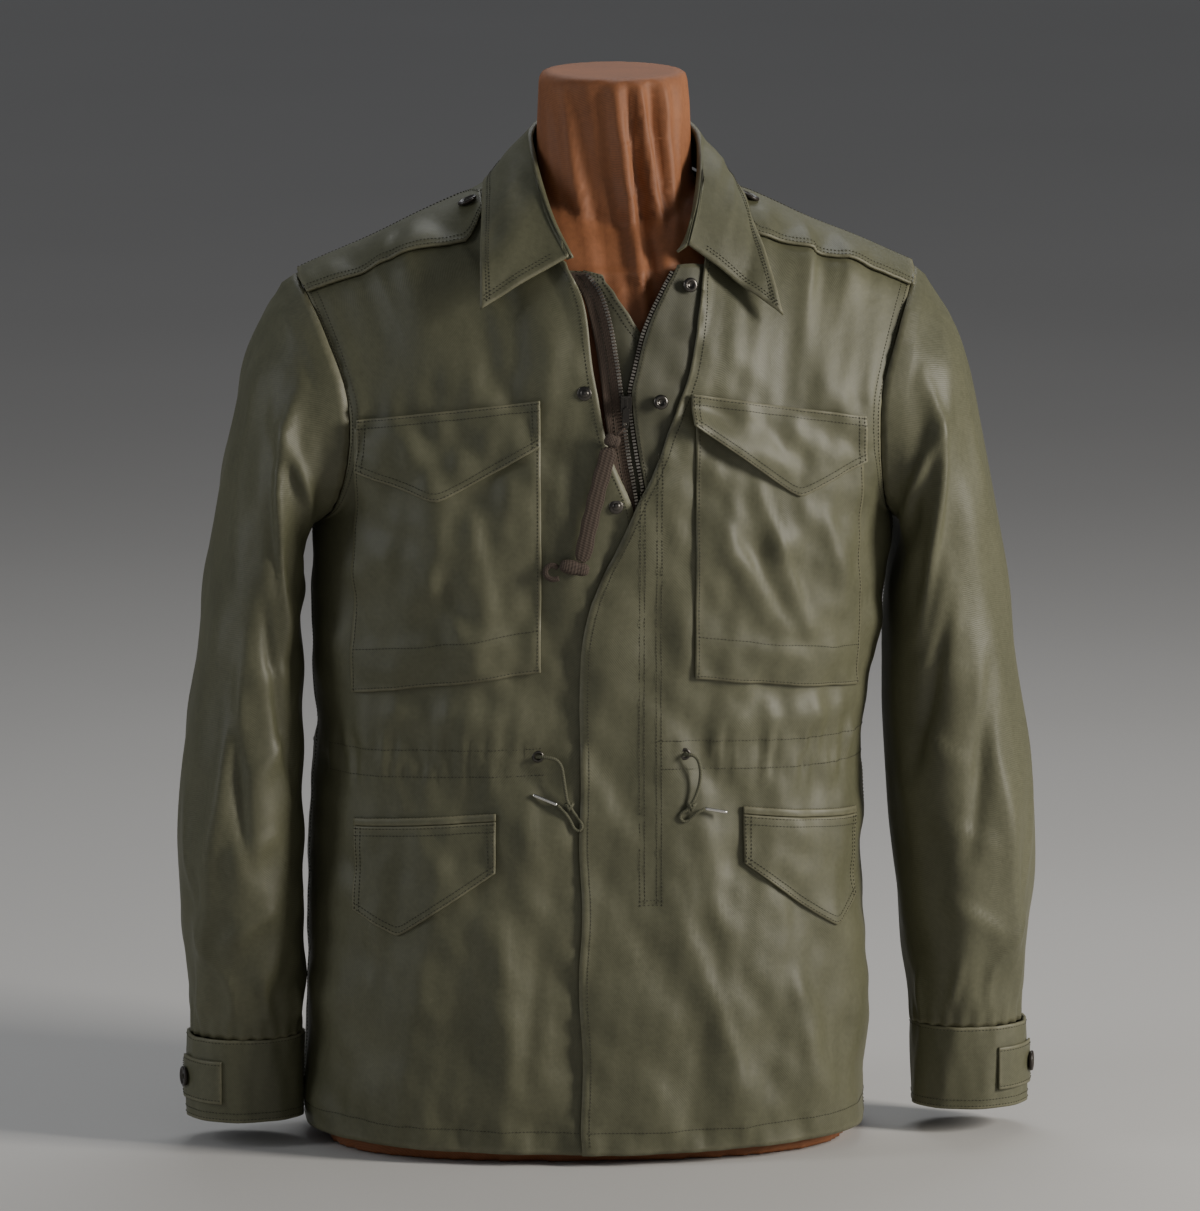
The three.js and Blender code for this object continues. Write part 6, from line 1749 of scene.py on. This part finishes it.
@dataclass
class ZipAssembly(Sewn):
    """Tapes, chains, slider, hinged tab, facing and guard."""

    TAPE_LIFT: ClassVar[float] = -3.4
    TOOTH_LIFT: ClassVar[float] = -1.7
    TOOTH_PITCH: ClassVar[float] = 2.6
    MIDDLE_X: ClassVar[float] = 3.5
    chain_half: float = 1.6
    reach: float = 16.0
    low: float = 208.0
    high: float = 700.0

    def strip(self, name: str, nodes: Sequence[str], start: Callable, end: Callable, low: float, high: float,
              lift: float, thick: float, finish: Finish, columns: int) -> Grid:
        """Builds a long strip that lies on the front.

        Args:
            name: the piece's name.
            nodes: the solids that it stands for.
            start: its first side's x, by height.
            end: its other side's x, by height.
            low: its lower end.
            high: its upper end.
            lift: its outer face's lift.
            thick: its wall.
            finish: its finish.
            columns: how many points lie across.

        Returns:
            Its grid.
        """
        z = np.linspace(low, high, 150)[:, None]
        share = np.linspace(0, 1, columns)[None]
        x, z = np.broadcast_arrays(mix(start(z), end(z), share), z)
        grid = Grid(SURFACE.front_point(x, z, lift)).facing((0, 400, 400))
        return WARDROBE.cloth(name, grid, thick, nodes, finish=finish)

    def build(self) -> None:
        """Builds the zip's parts."""
        chains = StitchRun(pitch=self.TOOTH_PITCH)
        for name, side in SIDES:
            self.strip(f"tape_{name}", [f"zip_tape_{name}"], lambda z, one=name: ZIP_CHAINS.read(z, one),
                       lambda z, one=name, way=side: ZIP_CHAINS.read(z, one) + way * self.reach,
                       self.low, self.high, self.TAPE_LIFT, 1.1, TAPE, 10)
            z = np.linspace(self.low + 3, self.high - 2, 260)
            x = ZIP_CHAINS.read(z, name)
            chains.add(even_line(SURFACE.front_point(x + side * self.chain_half * 0.75, z, self.TOOTH_LIFT),
                                 self.TOOTH_PITCH))
            self.stitches.append(even_line(SURFACE.front_point(x + side * 9, z, self.TAPE_LIFT + STITCH_LIFT),
                                           STITCH_STEP))
        chains.build("chain_teeth", TOOTH, self.tooth())
        # The facing and the guard take the darker sateen copy, painted shade for cloth under the fly.
        grid = self.strip("cloth_zip_facing", ["zip_facing"], lambda z: ZIP_CHAINS.read(z, "left") + 3.2,
                          lambda z: np.maximum(FLY_EDGE.read(z, "x") + 10, 33), 208, 703, 0.0, 1.6, SATEEN_SHADED, 12)
        self.stitches.append(grid.seam(Edge.FIRST_COLUMN, 2.4, (3, 3)))
        grid = self.strip("cloth_zip_guard", ["zip_guard"], lambda z: ZIP_CHAINS.read(z, "right") - 14,
                          lambda z: GUARD_EDGE.read(z, "x"), 500, 702, -5.5, 1.2, SATEEN_SHADED, 14)
        self.stitches += [grid.seam(Edge.LAST_COLUMN, inset, (3, 3)) for inset in (3, 8)]
        self.slider()
        self.tab()

    def tooth(self) -> Piece:
        """One tooth: a rounded block with its length along Z and its nose across X."""
        outline = [(-1.6, -1.2), (1.1, -1.2), (1.7, -0.6), (1.7, 0.6), (1.1, 1.2), (-1.6, 1.2)]
        points = [(x, y, z) for z in (-0.75, 0.75) for x, y in outline]
        count = len(outline)
        faces = [tuple(range(count)), tuple(reversed(range(count, 2 * count)))]
        faces += [(index, index + count, (index + 1) % count + count, (index + 1) % count) for index in range(count)]
        return plain_mesh("tooth_shape", np.array(points), faces, smooth=False)

    def slider(self) -> None:
        """Builds the slider: two plates, a waist and a bridge."""
        x, y, z = self.MIDDLE_X, -137.1, 601.4
        parts = [self.plate("slider_front", (x, y - 1.6, z), (4.4, 0.8, 6.3), 0.5),
                 self.plate("slider_back", (x, y + 1.6, z), (4.4, 0.7, 6.3), 0.5),
                 self.plate("slider_waist", (x, y, z + 1.5), (1.6, 1.5, 3.6), 0.3),
                 self.plate("slider_bridge", (x, y - 2.2, z + 0.6), (1.3, 0.55, 4.4), 0.4)]
        WARDROBE.dress(joined("slider_metal", parts), STEEL, "zip_slider")

    def plate(self, name: str, middle: Sequence[float], half: Sequence[float], bevel: float) -> Piece:
        """A block with bevelled edges, by its middle and half sizes."""
        corners = [(-1, -1, -1), (1, -1, -1), (1, 1, -1), (-1, 1, -1), (-1, -1, 1), (1, -1, 1), (1, 1, 1), (-1, 1, 1)]
        faces = [(0, 3, 2, 1), (4, 5, 6, 7), (0, 1, 5, 4), (1, 2, 6, 5), (2, 3, 7, 6), (3, 0, 4, 7)]
        block = plain_mesh(name, np.array(corners) * np.array(half) + np.array(middle), faces, smooth=False)
        self.bevelled(block, bevel)
        return block

    @staticmethod
    def bevelled(piece: Piece, width: float) -> None:
        """Rounds a piece's edges."""
        shape = bmesh.new()
        shape.from_mesh(piece.data)
        bmesh.ops.bevel(shape, geom=[edge for edge in shape.edges if edge.calc_face_angle(0) > 0.5],
                        offset=width * MM,
                        segments=2, affect="EDGES", profile=0.6)
        shape.to_mesh(piece.data)
        shape.free()

    def tab(self) -> None:
        """Builds the hinged tab with its hole."""
        half, length, depth = 2.75, 17.0, 1.6
        count = 28
        turns = np.linspace(0, 2 * np.pi, count, endpoint=False)
        outer, inner = [], []
        middle = -length + half + 0.6
        for turn in turns:
            x, z = math.cos(turn), math.sin(turn)
            inner.append((1.6 * x, middle + 1.6 * z))
            if z <= 0:
                outer.append((half * x, -length + half + half * z))
            else:
                reach = min(half / max(abs(x), 1e-6), (-(-length + half)) / max(z, 1e-6))
                outer.append((reach * x, -length + half + reach * z))
        lean = math.radians(3)
        points = []
        for depth_at in (-140.0, -140.0 - depth):
            for ring in (outer, inner):
                for x, z in ring:
                    points.append((self.MIDDLE_X + x * math.cos(lean) + z * math.sin(lean), depth_at,
                                   600 - x * math.sin(lean) + z * math.cos(lean)))
        faces = []
        for index in range(count):
            after = (index + 1) % count
            a, b, c, d = (ring * count for ring in range(4))
            faces += [(a + index, a + after, b + after, b + index), (d + index, d + after, c + after, c + index),
                      (c + index, c + after, a + after, a + index), (b + index, b + after, d + after, d + index)]
        piece = plain_mesh("tab_metal", np.array(points), faces, smooth=False)
        self.bevelled(piece, 0.25)
        WARDROBE.dress(piece, STEEL, "zip_tab", body=PULL)


@dataclass
class DressForm:
    """The limbless form that the jacket stands on: torso and neck in one smooth piece."""

    shoulder_gap: float = 2.4
    waist_gap: float = 12.0
    neck_sides: int = 96
    skin_square: float = 4.2
    fold_strength: float = 2.0
    neck: tuple[tuple[float, float, float, float], ...] = (
        (690, 59.5, 6, 6), (740, 65.5, 6, 8), (765, 61.2, 7, 9), (800, 60.2, 7, 10), (836, 58.2, 6.5, 10),
        (842.6, 55.7, 6.5, 10))

    def ring(self, station: float) -> Array:
        """The form's outline at a station, inside the cloth."""
        halves = []
        for face, side in ((Face.FRONT, -1.0), (Face.FRONT, 1.0), (Face.BACK, 1.0), (Face.BACK, -1.0)):
            shares = np.linspace(0, 1, 30)
            shares = shares[::-1] if side * (1 if face is Face.FRONT else -1) < 0 else shares
            gap = CAD_WALL + self.shoulder_gap + self.waist_gap * smooth_step(1, 0.86, station)
            inward = SURFACE.normal(face, side, shares, station) * -gap
            halves.append(SURFACE.base(face, side, shares, station) + inward)
        return np.concatenate(halves)

    def folds(self, x: Array, z: Array) -> Array:
        """The soft folds of the cover on the front of the neck."""
        return Relief((*folds("""
            3 850 24 655 6 4.6 0.5; 19 850 42 690 6 4.2 0.5; 40 850 43 700 6 3.8 0.3; 12 846 33 664 5.5 -3.4;
            31 846 42 690 5 -3.4; -9 846 14 660 7 -2; -38 840 -14 690 7 2.4 0.5; -52 836 -32 706 7 2 0.5;
            -26 832 -4 680 7 -1.6; 55 842 46 700 6 2.6 0.4"""),
            Lumps(81, 60, 0.35))).rise(x, z)

    def build(self) -> None:
        """Builds the form as one closed skin."""
        rings = [self.ring(station) for station in np.linspace(0, 1, 90)]
        count = len(rings[0])
        points = [np.array([[0, 0, 0], [6, 6, 748]], float), *rings]
        floor = rings[0].copy()
        floor[:, 2] = 0
        points.insert(1, floor)
        points = np.concatenate(points)
        last = 2 + len(rings) * count
        faces = ring_faces(len(rings) + 1, count, 2)
        faces += [(0, 2 + (index + 1) % count, 2 + index) for index in range(count)]
        faces += [(1, last + index, last + (index + 1) % count) for index in range(count)]
        torso = plain_mesh("form_torso", points, faces)
        turns = np.linspace(0, 2 * np.pi, self.neck_sides, endpoint=False)
        tube = [placing(x + radius * np.cos(turns), y + radius * np.sin(turns), z) for z, radius, x, y in self.neck]
        neck = plain_mesh("form_neck", np.concatenate(tube), capped_faces(len(tube), len(turns)))
        piece = joined("form_cover", [torso, neck])
        remesh = piece.modifiers.new("skin", "REMESH")
        remesh.mode, remesh.voxel_size = "VOXEL", self.skin_square * MM
        mesh = bpy.data.meshes.new_from_object(piece.evaluated_get(bpy.context.evaluated_depsgraph_get()))
        piece.modifiers.clear()
        piece.data = mesh
        places = np.zeros(len(mesh.vertices) * 3)
        mesh.vertices.foreach_get("co", places)
        places = places.reshape(-1, 3) / MM
        out = (places - np.array([6.5, 9, 0])) * np.array([1, 1, 0])
        radius = np.linalg.norm(out, axis=1)
        level = places[:, 2]
        near = smooth_step(640, 668, level) * smooth_step(842, 834, level) * smooth_step(4, -20, out[:, 1])
        away = out / np.maximum(radius, 1)[:, None]
        away[:, 1] = mix(-1.0, away[:, 1], smooth_step(690, 730, level))
        away[:, 0] *= smooth_step(690, 730, level)
        places += away * (self.folds(places[:, 0], level) * near * self.fold_strength)[:, None]
        mesh.vertices.foreach_set("co", (places * MM).ravel())
        mesh.polygons.foreach_set("use_smooth", [True] * len(mesh.polygons))
        map_points(piece, places[:, :2].sum(axis=1) * MM, level * MM)
        mesh.update()
        WARDROBE.dress(piece, COVER, "dress_form")


@dataclass
class Studio:
    """Camera, pale floor and soft lights, placed as in the photograph."""

    turn: float = -5.0
    rise: float = 10.0
    away: float = 9.5
    frame: float = 0.93
    target: tuple[float, float, float] = (-0.0169, -0.14, 0.4443)

    def camera(self) -> None:
        """Sets the camera at the photograph's angle."""
        turn, rise = math.radians(self.turn), math.radians(self.rise)
        back = Vector((math.sin(turn) * math.cos(rise), -math.cos(turn) * math.cos(rise), math.sin(rise)))
        data = bpy.data.cameras.new("camera")
        data.sensor_width, data.sensor_fit = 36.0, "HORIZONTAL"
        data.lens = 36.0 * self.away / self.frame
        data.clip_end = 120.0
        camera = placed("camera", data)
        camera.location = Vector(self.target) + back * self.away
        camera.rotation_euler = (camera.location - Vector(self.target)).to_track_quat("Z", "Y").to_euler()
        bpy.context.scene.camera = camera

    def light(self, name: str, place: Sequence[float], size: tuple[float, float], power: float,
              color: Sequence[float]) -> None:
        """Adds a soft light that faces the jacket's chest."""
        data = bpy.data.lights.new(name, "AREA")
        data.shape, data.size, data.size_y = "RECTANGLE", *size
        data.energy, data.color = power, tuple(color)
        light = placed(name, data)
        light.location = place
        light.rotation_euler = (Vector(place) - Vector(LIT_PLACE)).to_track_quat("Z", "Y").to_euler()

    def build(self) -> None:
        """Builds the floor, the lights and the sky."""
        floor = plain_mesh("floor", np.array([(-40000, -9000, -1), (40000, -9000, -1), (40000, 50000, -1),
                                              (-40000, 50000, -1)]),
                           [(0, 1, 2, 3)], smooth=False)
        pale = Finish("floor_pale", "floor", (0.5, 0.49, 0.47), (0.6, 0.59, 0.57), 0.9, bump=0.05, seed=20.0,
                      patch_scale=1.2)
        floor.data.materials.append(pale.material())
        self.light("key_right", (2.5, -1.25, 1.35), (0.6, 1.2), 96, (1.0, 0.95, 0.88))
        self.light("side_left", (-2.2, -0.5, 1.2), (0.5, 1.6), 12, (0.95, 0.97, 1.0))
        self.light("front_fill", (0.2, -3.0, 1.4), (1.6, 1.6), 4.0, (1.0, 0.98, 0.95))
        self.light("top_back", (0.3, 1.2, 2.2), (1.6, 0.8), 16, (0.95, 0.97, 1.0))
        world = bpy.data.worlds.new("sky")
        world.use_nodes = True
        graph = Graph(world.node_tree)
        sky = graph.node("ShaderNodeBackground", None, {"Color": (0.9, 0.93, 1.0, 1.0), "Strength": 0.13})
        graph.node("ShaderNodeOutputWorld", None, {"Surface": sky})
        bpy.context.scene.world = world


def main() -> None:
    """Builds the scene's pieces in order."""
    logging.basicConfig(level=logging.INFO, format="%(message)s")
    studio = Studio()
    studio.camera()
    lace, cords = PullLace(), Drawcords()
    lace.build()
    cords.build()
    panels, patches, sleeves = BodyPanels(), Patches(), Sleeves()
    collar, straps, zipper = Collar(), ShoulderStraps(), ZipAssembly()
    for part in (panels, sleeves, collar, straps, patches, zipper, Fasteners(), DressForm()):
        part.build()
    for name, lines in (("panel_stitches", panels.seams()), ("sleeve_stitches", sleeves.stitches),
                        ("collar_stitches", collar.stitches), ("strap_stitches", straps.stitches),
                        ("patch_stitches", patches.stitches), ("zip_stitches", zipper.stitches)):
        run = StitchRun()
        run.add(*lines)
        run.build(name, SHADED_THREAD)
    studio.build()


if __name__ == "__main__":
    main()
